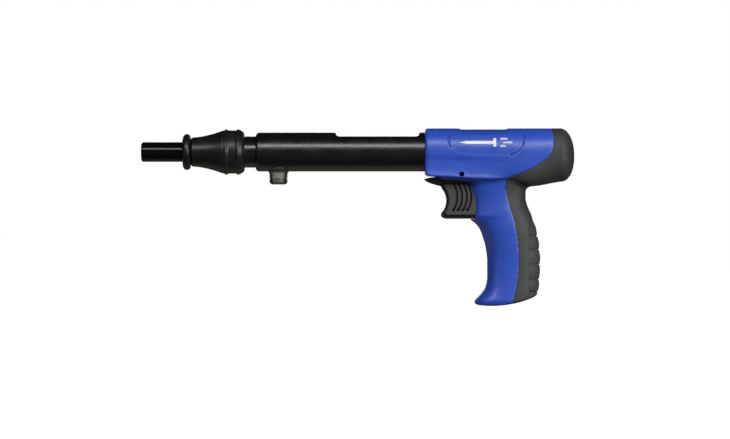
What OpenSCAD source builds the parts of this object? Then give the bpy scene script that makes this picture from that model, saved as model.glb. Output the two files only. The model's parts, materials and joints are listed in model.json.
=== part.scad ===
// Powder-actuated nail gun: a tube-bodied, trigger-fired piston tool.
// The origin is the centre of the muzzle, +X runs back along the bore and +Z is up.
// The grip hangs towards -Z, and the tool's left side faces -Y.

/* [Fastener guide] */
// Outer diameter of the fastener guide
guide_d = 15.8; // [15.4:0.1:15.8]
// Bore of the fastener guide, which takes nail heads of 8 mm
guide_bore_d = 8.2; // [8.1:0.1:8.6]
// How far the guide stands out of the nose cone
guide_reach = 32.8; // [31:0.2:34]

/* [Nose] */
// Length of the nose cone, without its skirt
cone_len = 31.4; // [31:0.1:32]
// Length of the locking collar
collar_len = 18.6; // [18:0.1:19]
// Diameter over the ridges of the locking collar
collar_d = 36.4; // [35.6:0.2:37]
// Diameter over the bead at the front of the nose cone
bead_d = 28.8; // [28:0.2:29.6]

/* [Barrel and piston] */
// Outer diameter of the barrel
barrel_d = 25; // [24.8:0.1:25]
// Bore that the piston runs in
piston_bore_d = 16.4; // [16.2:0.1:16.4]
// Length of the driving rod in front of the piston head
rod_len = 75; // [70:0.5:76]
// Diameter of the driving rod
rod_d = 7.8; // [7.4:0.1:7.9]
// Bore of the chamber that takes the powder load
chamber_d = 5.8; // [5.7:0.05:5.9]
// How far the barrel pulls forward to open the action
barrel_travel = 64; // [60:0.5:64]
// How far the barrel presses back when the muzzle meets the work
press_travel = 8.5; // [7:0.1:8.5]

/* [Receiver tube] */
// Outer diameter of the receiver tube
tube_d = 31.2; // [31:0.1:31.4]
// Inner diameter of the receiver tube
tube_bore_d = 25.2; // [25.2:0.1:25.4]
// Length of the loading port in the top of the tube
port_len = 66.4; // [64:0.2:67]
// Width of the loading port
port_w = 19; // [18:0.5:20]

/* [Housing] */
// Length of the housing along the bore
housing_len = 119.8; // [119.2:0.2:120.4]
// Height of the housing's top above the bore axis
housing_top = 19; // [18.8:0.1:19.4]
// Width of the housing over the tube
housing_w = 39; // [38.6:0.2:40]
// Thickness of the plastic shell's wall
wall = 3; // [2.6:0.1:3]
// Thickness of the rubber over the shell
rubber = 2.5; // [2.2:0.1:2.6]
// Radius of the rounded sole of the grip
sole_r = 90; // [86:1:95]

/* [Trigger] */
// Width of the trigger
trigger_w = 14; // [13:0.5:14]
// Travel of the trigger
trigger_travel = 6; // [5:0.1:6]

/* [Hidden] */
$fn = 72;

gap = 0.05;          // radial clearance between fixed round parts
slide_gap = 0.1;     // radial clearance between sliding round parts
slice = 0.02;        // thickness of one loft section
cut = 60;            // reach of a cutting body that only has to pass right through

guide_r = guide_d / 2;
barrel_r = barrel_d / 2;
piston_bore_r = piston_bore_d / 2;
tube_r = tube_d / 2;
tube_bore_r = tube_bore_d / 2;

// Stations along the bore, from the muzzle back
cone_x0 = guide_reach;
cone_x1 = cone_x0 + cone_len;
collar_x1 = cone_x1 + collar_len;
skirt_len = 8;
skirt_r = 14.5;
tube_x0 = collar_x1 + press_travel + 0.3;
barrel_x0 = cone_x1 - 3.7;
guide_x1 = barrel_x0 - 0.5;
guide_flange_t = 4;
guide_flange_r = 9.8;
relief = 0.25;       // the guide is thinner inside the nose cone
nose_wall = 8.7;
port_x1 = tube_x0 + 130.4;
port_x0 = port_x1 - port_len;
barrel_x1 = port_x1 - 0.9;
bolt_x0 = barrel_x1 + 0.3;
housing_x0 = port_x1 + 4.4;
housing_x1 = housing_x0 + housing_len;
tube_x1 = housing_x0 + 95.6;

// Chamber end of the barrel
rim_r = 3.8;
rim_depth = 1.2;
chamber_len = 16.9;
chamber_x0 = barrel_x1 - rim_depth - chamber_len;
gas_port_r = 0.7;    // four ports through the chamber's floor, clear of the axis
piston_bore_x1 = barrel_x1 - 24.1;
detent_x = barrel_x1 - 16;
detent_wire_r = 0.6;
detent_groove_r = 11.3;

// Piston
head_t = 8;
head_x0 = piston_bore_x1 - 3 - head_t;
disc_t = 2;
buffer_t = 10;

// Barrel retainer under the tube
retainer_x = tube_x0 + 18;
retainer_r = 2.5;
boss_r = 7.2;
boss_z = -21.2;
retainer_tip_z = -10.3;
cap_z = -26;

// Breech block, hammer and plug
bolt_head_t = 10.6;
bolt_stem_r = 7.5;
bolt_x1 = bolt_x0 + 30;
pin_z = 2.7;
pin_head_x0 = bolt_x0 + 27.6;
seat_x0 = bolt_x0 + 39.6;
seat_t = 4.5;
hammer_x0 = seat_x0 + seat_t + 4.5;
hammer_r = 12.4;
hammer_x1 = hammer_x0 + 25;
plug_x0 = tube_x1 - 10;
plug_pin_r = 2;

// Trigger, sear and their pins
guide_pin_at = [housing_x0 + 29.2, -17.9];
guide_pin_r = 2;
sear_at = [housing_x0 + 36.6, -20];
sear_pin_r = 1.5;
sear_t = 4;
nose_x = sear_at[0] + 17.85;
trigger_x1 = housing_x0 + 57.6;
trigger_floor = -53.4;
wing_top = -20.1;
rib_x = housing_x0 + 35;

// Side outline of the housing: [x, z] below the bore, and half widths as [x, half width]
belly_line = [[housing_x0, -19.6], [housing_x0 + 6, -20.6], [housing_x0 + 58, -20.8],
    [housing_x0 + 83, -27.4], [housing_x0 + 108.4, -23.7]];
flank_line = [[housing_x0, 0.97], [housing_x0 + 6, 1], [housing_x0 + 96, 1], [housing_x0 + 108.4, 0.95]];
dome_x0 = housing_x0 + 108.4;
dome_len = housing_x1 - dome_x0;
dome_mid = -2;

// Front and back edges of the grip as [z, x], and its half width as [z, half width]
grip_front = [[-10, 258], [-22, 259.5], [-35, 264.4], [-48, 266.6], [-51.5, 265.8], [-54, 264.8],
    [-57, 268.4], [-62, 272], [-72, 274.4], [-86, 276.5], [-99, 276.4], [-107, 275.2], [-113, 271.8],
    [-119, 266.2], [-124, 264]];
grip_back = [[-10, 319], [-24, 316], [-28, 311.6], [-32, 307.9], [-37, 307.2], [-43, 308.4], [-50, 311.8],
    [-61, 315.2], [-73, 317.6], [-88, 318.6], [-100, 318.3], [-112, 317], [-124, 313]];
grip_flank = [[-10, 17], [-25, 16.2], [-40, 15], [-55, 15.2], [-90, 16], [-112, 16.6], [-124, 17.2]];
sole_at = [279, -32.9];

// Edge of the rubber overmould as [x, z], from the top of the housing down to the sole
rubber_edge = [[328, 30], [328.2, 18], [328.9, 8], [327.2, 0], [322.8, -5.6], [311.6, -12.8],
    [300.4, -17.6], [292.6, -21.4], [290.8, -26], [291, -31], [293.2, -41], [297.2, -54.4],
    [300, -69], [301.2, -84],
    [300.8, -95], [299, -108], [296, -121], [295, -132]];

// Housing screws: [x, z, y of the head's seat]
screws = [[332, 0, 12], [299.5, -24.5, 10.5], [289, -66, 10], [287, -107, 10]];
screw_r = 1.75;
screw_head_r = 3.7;
screw_end_y = -9;

// A cylinder along the bore from x0 to x1
module rod_x(x0, x1, r) translate([x0, 0, 0]) rotate([0, 90, 0]) cylinder(h = x1 - x0, r = r);

// A cylinder across the tool at [x, z], from y0 to y1
module rod_y(at, y0, y1, r, fn = $fn) translate([at[0], y1, at[1]]) rotate([90, 0, 0])
    cylinder(h = y1 - y0, r = r, $fn = fn);

// A ring along the bore
module ring_x(x0, x1, r_out, r_in) difference() {
    rod_x(x0, x1, r_out);
    rod_x(x0 - 1, x1 + 1, r_in);
}

// A body turned about the bore from an outline of [x, r]
module turned(outline) rotate([0, 90, 0]) rotate_extrude() polygon([for (p = outline) [p[1], p[0]]]);

// A plate cut from an outline of [x, z], centred across the tool
module plate(outline, thickness) translate([0, thickness / 2, 0]) rotate([90, 0, 0])
    linear_extrude(thickness) polygon(outline);

// Points on an arc about a centre, from angle a0 to a1
function arc(centre, r, a0, a1, steps = 8) = [for (i = [0:steps])
    let (a = a0 + (a1 - a0) * i / steps) [centre[0] + r * cos(a), centre[1] + r * sin(a)]];

// Height of a spring's wire centre after t turns, with closed ends of 0.4 turn
function coil_z(t, length, wire_r, turns) = wire_r
    + (length - 2 * wire_r) * min(1, max(0, (t - 0.4) / (turns - 0.8)));

// A compression spring that stands on z = 0
module coil_spring(length, mean_r, wire_r, turns, sides = 6, per_turn = 10) {
    rings = turns * per_turn;
    points = [for (i = [0:rings])
        let (a = 360 * i / per_turn, z = coil_z(i / per_turn, length, wire_r, turns))
            for (k = [0:sides - 1])
                let (b = 360 * k / sides, r = mean_r + wire_r * cos(b))
                    [r * cos(a), r * sin(a), z + wire_r * sin(b)]];
    walls = [for (i = [0:rings - 1]) for (k = [0:sides - 1]) let (n = (k + 1) % sides)
        each [[i * sides + k, (i + 1) * sides + k, (i + 1) * sides + n],
            [i * sides + k, (i + 1) * sides + n, i * sides + n]]];
    first = [for (k = [0:sides - 1]) k];
    last = [for (k = [sides - 1:-1:0]) rings * sides + k];
    polyhedron(points, concat(walls, [first], [last]));
}

// A compression spring along the bore from x0 to x1
module spring_x(x0, x1, mean_r, wire_r, turns, z = 0) translate([x0 + gap, 0, z]) rotate([0, 90, 0])
    coil_spring(x1 - x0 - 2 * gap, mean_r, wire_r, turns);

// ---- Nose and barrel ----

module fastener_guide() color([0.09, 0.09, 0.1]) difference() {
    turned([[0, 0], [0, guide_r - 1], [1, guide_r], [guide_reach - 0.5, guide_r],
        [guide_reach - 0.5, guide_r - relief], [guide_x1 - guide_flange_t, guide_r - relief],
        [guide_x1 - guide_flange_t, guide_flange_r], [guide_x1, guide_flange_r], [guide_x1, 0]]);
    rod_x(-1, guide_x1 + 1, guide_bore_d / 2);
}

// Flare of the nose cone: its radius at share t of the way back
function flare_r(t) = 11.7 + 5.2 * pow(t, 1.65);

module nose_cone() color([0.07, 0.07, 0.075]) {
    bead_minor = 3.2;
    bead_at = [cone_x0 + 3.6, bead_d / 2 - bead_minor];
    flare_x0 = bead_at[0] + bead_minor + 1.4;
    flare = [for (i = [0:10]) [flare_x0 + (cone_x1 - flare_x0) * i / 10, flare_r(i / 10)]];
    difference() {
        turned(concat([[cone_x0, 0], [cone_x0, guide_r + 1.4]], arc(bead_at, bead_minor, 165, -20, 12),
            flare, [[cone_x1, skirt_r], [cone_x1 + skirt_len, skirt_r], [cone_x1 + skirt_len, 0]]));
        rod_x(cone_x0 - 1, cone_x1, guide_r + slide_gap);
        rod_x(cone_x0 + nose_wall, barrel_x0 - 0.2, guide_flange_r + 0.3);
        rod_x(barrel_x0 - 0.3, cone_x1 + skirt_len + 1, barrel_r + gap);
    }
}

module locking_collar() color([0.1, 0.1, 0.11]) {
    top = collar_d / 2;
    ridge = 1.6;
    difference() {
        turned(concat([[cone_x1, 0], [cone_x1, flare_r(1)]],
            arc([cone_x1 + 3.6, top - ridge], ridge, 150, 40, 6),
            [[cone_x1 + 6, top - 0.9], [cone_x1 + 11.4, top - 0.9]],
            arc([cone_x1 + 13.2, top - ridge], ridge, 140, 60, 6),
            arc([collar_x1 - 4.4, top - 5.2], 4.4, 60, 0, 6), [[collar_x1, 0]]));
        rod_x(cone_x1 - 1, cone_x1 + skirt_len + 0.2, skirt_r + gap);
        rod_x(cone_x1, collar_x1 + 1, barrel_r + gap);
    }
}

module stop_spring() color([0.6, 0.6, 0.62])
    spring_x(cone_x0 + nose_wall, guide_x1 - guide_flange_t, 9, 0.5, 4.5);

module stop_disc() color([0.55, 0.55, 0.57])
    ring_x(barrel_x0 + 0.2, barrel_x0 + 0.2 + disc_t, piston_bore_r - slide_gap, guide_bore_d / 2);

module buffer_ring() color([0.2, 0.2, 0.2])
    ring_x(barrel_x0 + disc_t + 0.3, barrel_x0 + disc_t + 0.3 + buffer_t, piston_bore_r - slide_gap,
        guide_bore_d / 2 + 0.1);

// Channel of the extractor's stem beside the chamber, and the recess for its claw
extractor_y = 7;
module extractor_space(clear) {
    translate([barrel_x1 - 20 - clear, extractor_y, 0]) rotate([0, 90, 0])
        cylinder(h = 21 + clear, r = 1.5 + clear);
    translate([barrel_x1 - rim_depth - clear, 3.4 - clear, -2.5 - clear])
        cube([rim_depth + 1 + clear, 5.1 + 2 * clear, 5 + 2 * clear]);
}

module barrel() color([0.12, 0.12, 0.13]) difference() {
    rod_x(barrel_x0, barrel_x1, barrel_r);
    rod_x(barrel_x0 - 1, piston_bore_x1, piston_bore_r);
    for (a = [45:90:315]) rotate([a, 0, 0]) translate([0, 0, 1.8])
        rod_x(piston_bore_x1 - 1, chamber_x0 + 1, gas_port_r);
    rod_x(chamber_x0, barrel_x1, chamber_d / 2);
    rod_x(barrel_x1 - rim_depth, barrel_x1 + 1, rim_r);
    ring_x(detent_x - 0.9, detent_x + 0.9, barrel_r + 1, detent_groove_r);
    extractor_space(0.1);
    // Keyway for the retainer, as long as the barrel's whole travel
    translate([retainer_x - press_travel - 0.3, 0, -barrel_r - 1]) keyway_end();
    translate([retainer_x + barrel_travel + 0.3, 0, -barrel_r - 1]) keyway_end();
    translate([retainer_x - press_travel - 0.3, -retainer_r - 0.2, -barrel_r - 1])
        cube([barrel_travel + press_travel + 0.6, 2 * retainer_r + 0.4, keyway_depth]);
}

keyway_depth = barrel_r + 1 + retainer_tip_z + 0.3;

module keyway_end() cylinder(h = keyway_depth, r = retainer_r + 0.2);

module detent_ring() color([0.65, 0.65, 0.67]) difference() {
    rotate([0, 90, 0]) rotate_extrude() translate([tube_bore_r - gap - detent_wire_r, detent_x])
        circle(r = detent_wire_r);
    translate([detent_x - 2, -1.5, 8]) cube([4, 3, 8]);
}

module extractor() color([0.6, 0.6, 0.62]) intersection() {
    difference() {
        extractor_space(0);
        rod_x(barrel_x1 - rim_depth - 1, barrel_x1 + 2, chamber_d / 2 + 0.6);
    }
    rod_x(barrel_x0, barrel_x1, barrel_r);
}

groove_w = 1.3;
groove_depth = 1;
ring_stations = [head_x0 + 1.6, head_x0 + 4.6];

module piston() color([0.62, 0.62, 0.64]) difference() {
    turned([[head_x0 - rod_len, 0], [head_x0 - rod_len, rod_d / 2 - 0.5],
        [head_x0 - rod_len + 0.5, rod_d / 2], [head_x0 - 0.9, rod_d / 2], [head_x0, rod_d / 2 + 0.9],
        [head_x0, piston_bore_r - slide_gap], [head_x0 + head_t, piston_bore_r - slide_gap],
        [head_x0 + head_t, 5], [head_x0 + head_t - 2, 4], [head_x0 + head_t - 2, 0]]);
    for (x = ring_stations)
        ring_x(x, x + groove_w, piston_bore_r + 1, piston_bore_r - slide_gap - groove_depth);
}

module piston_rings() color([0.5, 0.5, 0.52]) for (i = [0, 1]) difference() {
    ring_x(ring_stations[i] + gap, ring_stations[i] + groove_w - gap, piston_bore_r - 0.04,
        piston_bore_r - slide_gap - groove_depth + gap);
    rotate([180 * i, 0, 0]) translate([ring_stations[i] - 1, -0.4, 0])
        cube([groove_w + 2, 0.8, piston_bore_r + 1]);
}

// ---- Receiver tube and the barrel retainer ----

port_corner = 3;
module port_cut() for (side = [-1, 1]) {
    for (x = [port_x0 + port_corner, port_x1 - port_corner])
        translate([x, side * (port_w / 2 - port_corner), 0]) cylinder(h = tube_r + 2, r = port_corner);
    translate([port_x0 + port_corner, -port_w / 2, 0])
        cube([port_len - 2 * port_corner, port_w, tube_r + 2]);
    translate([port_x0, port_corner - port_w / 2, 0])
        cube([port_len, port_w - 2 * port_corner, tube_r + 2]);
}

module receiver_tube() color([0.1, 0.1, 0.11]) difference() {
    turned([[tube_x0, tube_bore_r], [tube_x0, tube_r - 2.6], [tube_x0 + 2.6, tube_r], [tube_x1, tube_r],
        [tube_x1, tube_bore_r]]);
    port_cut();
    translate([retainer_x, 0, -tube_r - 1]) cylinder(h = tube_r, r = retainer_r + slide_gap);
    translate([nose_x - 7, -sear_t / 2 - 0.5, -tube_r - 1]) cube([16, sear_t + 1, 8]);
    rod_y([tube_x1 - 5, 0], -cut, cut, plug_pin_r + gap);
}

module retainer_boss() color([0.3, 0.3, 0.3]) difference() {
    union() {
        translate([retainer_x, 0, boss_z]) cylinder(h = -boss_z - 10, r = boss_r);
        translate([retainer_x, 0, boss_z + 3.8]) cylinder(h = 4, r1 = boss_r, r2 = boss_r + 2.4);
        translate([retainer_x, 0, boss_z + 7.8]) cylinder(h = 1.6, r = boss_r + 2.4);
    }
    rod_x(retainer_x - 20, retainer_x + 20, tube_r + 0.01);
    translate([retainer_x, 0, boss_z - 1]) cylinder(h = 20, r = 2.15);
    translate([retainer_x, 0, boss_z + 1]) cylinder(h = 20, r = 4.2);
}

module retainer_pin() color([0.7, 0.7, 0.72]) translate([retainer_x, 0, 0]) {
    translate([0, 0, -16.4]) cylinder(h = 16.4 + retainer_tip_z, r = retainer_r);
    translate([0, 0, -16.5]) cylinder(h = 0.8, r = 3.9);
    translate([0, 0, cap_z + 1.6]) cylinder(h = -cap_z - 1.6 - 16.4, r = 2);
}

module retainer_cap() color([0.42, 0.42, 0.41]) translate([retainer_x, 0, 0]) difference() {
    rotate_extrude() polygon(concat([[0, boss_z - 0.3], [boss_r - 0.5, boss_z - 0.3],
        [boss_r, boss_z - 0.8]], arc([boss_r - 2.6, cap_z + 2.6], 2.6, 0, -90, 6), [[0, cap_z]]));
    translate([0, 0, cap_z + 1.5]) cylinder(h = 10, r = 2 + gap);
}

module retainer_spring() color([0.6, 0.6, 0.62]) translate([retainer_x, 0, boss_z + 1 + gap])
    coil_spring(-16.5 - boss_z - 1 - 2 * gap, 3.3, 0.25, 2.5);

// ---- Breech block, firing pin and hammer ----

module breech_block() color([0.55, 0.55, 0.57]) difference() {
    union() {
        rod_x(bolt_x0, bolt_x0 + bolt_head_t, tube_bore_r - slide_gap);
        rod_x(bolt_x0 + bolt_head_t - 1, bolt_x1, bolt_stem_r);
    }
    translate([0, 0, pin_z]) {
        rod_x(bolt_x0 - 1, bolt_x0 + 6, 1);
        rod_x(bolt_x0 + 4.5, bolt_x1, 2);
        rod_x(bolt_x0 + 16.6, bolt_x1 + 1, 3.1);
    }
}

module firing_pin() color([0.68, 0.68, 0.7]) translate([0, 0, pin_z])
    turned([[bolt_x0 + 0.05, 0], [bolt_x0 + 0.05, 0.6], [bolt_x0 + 0.5, 0.9], [bolt_x0 + 5.6, 0.9],
        [bolt_x0 + 6.2, 1.9], [pin_head_x0, 1.9], [pin_head_x0, 2.8], [bolt_x1 + 2.2, 2.8],
        [bolt_x1 + 2.2, 0]]);

module firing_pin_spring() color([0.6, 0.6, 0.62])
    spring_x(bolt_x0 + 16.6, pin_head_x0, 2.45, 0.25, 7, pin_z);

module return_spring() color([0.6, 0.6, 0.62])
    spring_x(bolt_x0 + bolt_head_t, seat_x0, 10, 0.8, 6.5);

module spring_seat_ring() color([0.5, 0.5, 0.52])
    ring_x(seat_x0, seat_x0 + seat_t, tube_bore_r - gap, bolt_stem_r + 0.7);

module rebound_bumper() color([0.25, 0.12, 0.08])
    ring_x(seat_x0 + seat_t + 0.1, seat_x0 + seat_t + 2.7, tube_bore_r - 0.6, 6.3);

// The sear notch has a sloping rear wall, so the sear can leave it under load
module hammer() color([0.52, 0.52, 0.54]) difference() {
    turned([[hammer_x0 - 6.4, 0], [hammer_x0 - 6.4, 5.2], [hammer_x0 - 6, 5.6], [hammer_x0, 5.6],
        [hammer_x0, hammer_r], [nose_x - 7, hammer_r], [nose_x - 7, 9.3], [nose_x + 0.15, 9.3],
        [nose_x + 1.65, hammer_r], [hammer_x1, hammer_r], [hammer_x1, 9.6], [hammer_x1 - 9, 9.6],
        [hammer_x1 - 9, 5.3], [hammer_x1 - 16, 5.3], [hammer_x1 - 16, 0]]);
}

module hammer_spring() color([0.6, 0.6, 0.62]) spring_x(hammer_x1 - 9, plug_x0, 8, 0.9, 6);

module rear_plug() color([0.45, 0.45, 0.47]) difference() {
    union() {
        rod_x(plug_x0, tube_x1, tube_bore_r - gap);
        rod_x(hammer_x1 - 5, plug_x0 + 1, 5);
    }
    rod_y([tube_x1 - 5, 0], -cut, cut, plug_pin_r + gap);
}

module plug_pin() color([0.3, 0.3, 0.32]) rod_y([tube_x1 - 5, 0], -17.4, 17.4, plug_pin_r);

// ---- Trigger and sear ----

// Finger side of the trigger: a forward wing, a hollowed face and a toe
function finger_face() = concat([[housing_x0 - 0.8, -21.9], [housing_x0 + 2.8, -24.3],
    [housing_x0 + 8, -26], [housing_x0 + 12.6, -27.4]], arc([housing_x0 + 2.6, -38.8], 14.8, 38, -36, 10),
    [[housing_x0 + 13.4, -49.6], [housing_x0 + 14.6, -52.2], [housing_x0 + 17.2, trigger_floor]]);

trigger_grooves = 4;
groove_pitch = 4.25;
groove_r = 16.7;

// A lug that stands up from the trigger into the housing
module lug(x, length) translate([x, -5, wing_top - 1]) cube([length, 10, -16.4 - wing_top + 1]);

module trigger() color([0.27, 0.27, 0.26]) difference() {
    union() {
        plate(concat(finger_face(), [[trigger_x1, trigger_floor], [trigger_x1, -27],
            [sear_at[0] + 5, -27], [sear_at[0] + 5, wing_top], [housing_x0 + 12, wing_top],
            [housing_x0 + 4, wing_top - 1]]), trigger_w);
        // Lugs in front of the guide pin and around the sear's eye
        lug(guide_pin_at[0] - guide_pin_r - 0.3 - trigger_travel - 3.8, 3.8);
        lug(guide_pin_at[0] + guide_pin_r + 0.3, sear_at[0] + 2.7 - guide_pin_at[0]);
    }
    translate([sear_at[0] - 3.7, -sear_t / 2 - 0.15, -24.4]) cube([20, sear_t + 0.3, 20]);
    rod_y(sear_at, -cut, cut, sear_pin_r + 0.01);
    translate([sear_at[0] + 12, 0, -31]) cylinder(h = 5, r = 2.7);
    translate([0, 0, -40]) rod_x(trigger_x1 - 8, trigger_x1 + 1, 5);
    for (i = [0:trigger_grooves - 1]) translate([housing_x0 + 9.5 + groove_pitch * i, 0, -36.8]) {
        for (side = [-1, 1]) translate([0, side * (trigger_w / 2 - 0.45), 0]) finger_groove();
        rod_y([groove_r - 3.2, -9.4], -cut, -trigger_w / 2 + 1.4, 0.9);
        rod_y([groove_r - 3.2, -9.4], trigger_w / 2 - 1.4, cut, 0.9);
    }
}

// A curved groove 0.9 mm deep, about its own centre
module finger_groove() intersection() {
    difference() {
        rod_y([0, 0], -0.46, 0.46, groove_r + 0.7);
        rod_y([0, 0], -1, 1, groove_r - 0.7);
    }
    translate([8, -1, -9.4]) cube([12, 2, 18.6]);
}

module guide_pin() color([0.15, 0.15, 0.16]) rod_y(guide_pin_at, -11.6, 11.6, guide_pin_r);

module sear() color([0.6, 0.6, 0.62]) difference() {
    union() {
        plate([[sear_at[0], -17.4], [nose_x - 4.2, -17.4], [nose_x - 4.2, -9.8], [nose_x, -9.8],
            [nose_x + 1.5, -12.9], [nose_x + 1.5, -20], [nose_x, -21.6], [sear_at[0], -22.6]], sear_t);
        rod_y(sear_at, -sear_t / 2, sear_t / 2, 3.2);
    }
    rod_y(sear_at, -cut, cut, sear_pin_r + 0.06);
}

module sear_pin() color([0.7, 0.7, 0.72]) rod_y(sear_at, -4.9, 4.9, sear_pin_r);

module sear_spring() color([0.6, 0.6, 0.62]) translate([sear_at[0] + 12, 0, -31 + gap])
    coil_spring(8.75, 2, 0.25, 5);

module trigger_spring() color([0.6, 0.6, 0.62])
    spring_x(trigger_x1 - 8, trigger_x1 + 16, 4, 0.5, 8, -40);

// ---- Housing ----

// Points round a superellipse of half axes a and b, with none on its axes
function superellipse(a, b, n, count) = [for (i = [0:count - 1])
    let (t = 360 * (i + 0.5) / count, c = cos(t), s = sin(t))
        [a * sign(c) * pow(abs(c), 2 / n), b * sign(s) * pow(abs(s), 2 / n)]];

// A solid through rings of points, all with the same even count
module loft(rings) {
    count = len(rings[0]);
    rows = len(rings);
    walls = [for (r = [0:rows - 2]) for (k = [0:count - 1])
        let (n = (k + 1) % count, a = r * count, b = a + count)
            each [[a + k, b + k, b + n], [a + k, b + n, a + n]]];
    caps = [for (k = [0:count / 2 - 2]) let (m = count - 1 - k, e = (rows - 1) * count)
        each [[k, k + 1, m], [k + 1, m - 1, m],
            [e + k, e + m, e + k + 1], [e + k + 1, e + m, e + m - 1]]];
    polyhedron([for (r = rings) each r], concat(walls, caps));
}

// How much of its full size the housing still has at x, where its rear end rounds off
function dome(x, inset) = x <= dome_x0 ? 1 : sqrt(max(0, 1 - pow((x - dome_x0) / (dome_len - inset), 2)));

// One section of the housing over the tube, pulled in by inset and by the edge's rounding
function barrel_ring(x, inset, edge = 0) =
    let (d = dome(x, inset), pull = inset + edge,
        top = dome_mid + (housing_top - pull - dome_mid) * d,
        bottom = dome_mid + (lookup(x, belly_line) + pull - dome_mid) * d,
        half = (lookup(x, flank_line) * housing_w / 2 - pull) * d)
    [for (p = superellipse(half, (top - bottom) / 2, 2.9, 28)) [x, p[0], (top + bottom) / 2 + p[1]]];

function sole_z(x) = sole_at[1] - sqrt(pow(sole_r, 2) - pow(x - sole_at[0], 2));

// One section of the grip, level at share 0 and following the sole at share 1
function grip_ring(z, share, inset, edge = 0) =
    let (zf = z + (sole_z(266) - z) * share, zb = z + (sole_z(317) - z) * share,
        front = lookup(zf, grip_front) + inset + edge, back = lookup(zb, grip_back) - inset - edge,
        half = lookup((zf + zb) / 2, grip_flank) - inset - edge)
    [for (p = superellipse((back - front) / 2, half, 2.4, 24)) let (x = (front + back) / 2 + p[0])
        [x, p[1], z + (sole_z(x) - z) * share]];

// Whole outer form of the housing, or its inside when pulled in by inset
module form(inset) {
    edge = 2.4;
    sole_edge = 4;
    level = -97;
    drop = level - sole_z(290);
    nose = [for (a = [0, 35, 65, 90])
        barrel_ring(housing_x0 + inset + edge * (1 - cos(a)), inset, edge * (1 - sin(a)))];
    middle = [for (dx = [16, 36, 58, 71, 83, 96, 108.4]) barrel_ring(housing_x0 + dx, inset)];
    rear = [for (u = [0.35, 0.6, 0.8, 0.93, 0.998]) barrel_ring(dome_x0 + (dome_len - inset) * u, inset)];
    loft(concat(nose, middle, rear));
    upper = [for (i = [len(grip_front) - 1:-1:0]) let (z = grip_front[i][0])
        if (z > level) grip_ring(z, 0, inset)];
    heel = [for (q = [0.58, 0.38, 0.18, 0]) grip_ring(level, q, inset)];
    sole = [for (a = [90, 65, 35, 0])
        grip_ring(level, 1 - (inset + sole_edge * (1 - sin(a))) / drop, inset, sole_edge * (1 - cos(a)))];
    loft(concat(sole, heel, upper));
}

// The part of space on the rubber's side of its edge
module rubber_side(shift = 0) translate([shift, 0, 0])
    plate(concat(rubber_edge, [[380, -132], [380, 30]]), 2 * cut);

// Half of space on one side of the mid plane: -1 is left and 1 is right
module half_space(side) translate([200, side > 0 ? 0.03 : -cut - 0.03, -150]) cube([200, cut, 200]);

// Room inside the housing for the tube, the trigger, the sear and the pins
module housing_room() {
    rod_x(housing_x0 - 1, tube_x1 + 0.5, tube_r + 0.15);
    translate([guide_pin_at[0] - 14, -5.4, wing_top - 1]) cube([48, 10.8, 8]);
    translate([housing_x0 + 30, -trigger_w / 2 - 0.3, trigger_floor - 0.5])
        cube([34.5, trigger_w + 0.6, wing_top - trigger_floor + 0.8]);
    rod_y(guide_pin_at, -cut, cut, guide_pin_r + 0.1);
    rod_y([tube_x1 - 5, 0], -17.7, 17.7, plug_pin_r + 0.1);
    translate([housing_x0 - 1, -trigger_w / 2 - 0.3, -30])
        cube([40, trigger_w + 0.6, 30 + wing_top + 0.3]);
}

// Screw bosses, each with a web to the wall, and the rib that the trigger spring pushes on
module bosses() {
    for (s = screws) for (side = [-1, 1]) hull() {
        rod_y([s[0], s[1]], min(0, side * cut), max(0, side * cut), 4.2, 32);
        rod_y([s[0], s[1]], min(9 * side, side * cut), max(9 * side, side * cut), 5.6, 32);
    }
    translate([trigger_x1 + 16, -cut, -47]) cube([2.4, 2 * cut, 14]);
}

module screw_holes() for (s = screws) {
    rod_y([s[0], s[1]], screw_end_y - 1, cut, screw_r + 0.12);
    rod_y([s[0], s[1]], s[2], cut, screw_head_r + 0.5);
}

panel = [[244.4, 13.4], [245.6, 8], [248.6, 1.6], [254, -2.6], [263, -4.6], [290, -4.6], [298, -2.4],
    [303.4, 3], [305.4, 9], [305.8, 13.4]];
panel_y = housing_w / 2 - 0.7;

module shell(side) difference() {
    intersection() {
        union() {
            difference() {
                union() {
                    difference() {
                        form(0);
                        rubber_side();
                    }
                    form(rubber);
                }
                form(rubber + wall - 0.4);
                difference() {
                    form(wall);
                    rubber_side(-3);
                }
            }
            intersection() {
                form(rubber + 0.2);
                bosses();
            }
        }
        half_space(side);
    }
    housing_room();
    screw_holes();
    translate([0, side * (panel_y + 10), 0]) plate(panel, 20);
}

module left_shell() color([0.16, 0.25, 0.66]) shell(-1);

module right_shell() color([0.16, 0.25, 0.66]) shell(1);

// Heights of the finger grooves across the back of the grip
grip_grooves = [-44, -54.5, -67, -77.5, -89.5, -101.7, -111];

// A groove that runs round the back of the grip on one side
module grip_groove(z, side) {
    back = lookup(z, grip_back);
    hull() {
        translate([back + 0.6, side * 3, z + 0.8]) sphere(r = 1.6, $fn = 12);
        translate([back - 7, side * (lookup(z, grip_flank) + 0.6), z - 0.4]) sphere(r = 1.1, $fn = 12);
    }
}

module overmould(side) difference() {
    intersection() {
        form(0);
        rubber_side(0.06);
        half_space(side);
    }
    form(rubber - 0.03);
    screw_holes();
    for (z = grip_grooves) grip_groove(z, side);
    hull() {
        translate([312.5, side * 15.6, -50]) sphere(r = 0.7, $fn = 12);
        translate([310.5, side * 17, -108]) sphere(r = 0.7, $fn = 12);
    }
}

module left_overmould() color([0.28, 0.29, 0.3]) overmould(-1);

module right_overmould() color([0.28, 0.29, 0.3]) overmould(1);

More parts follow.
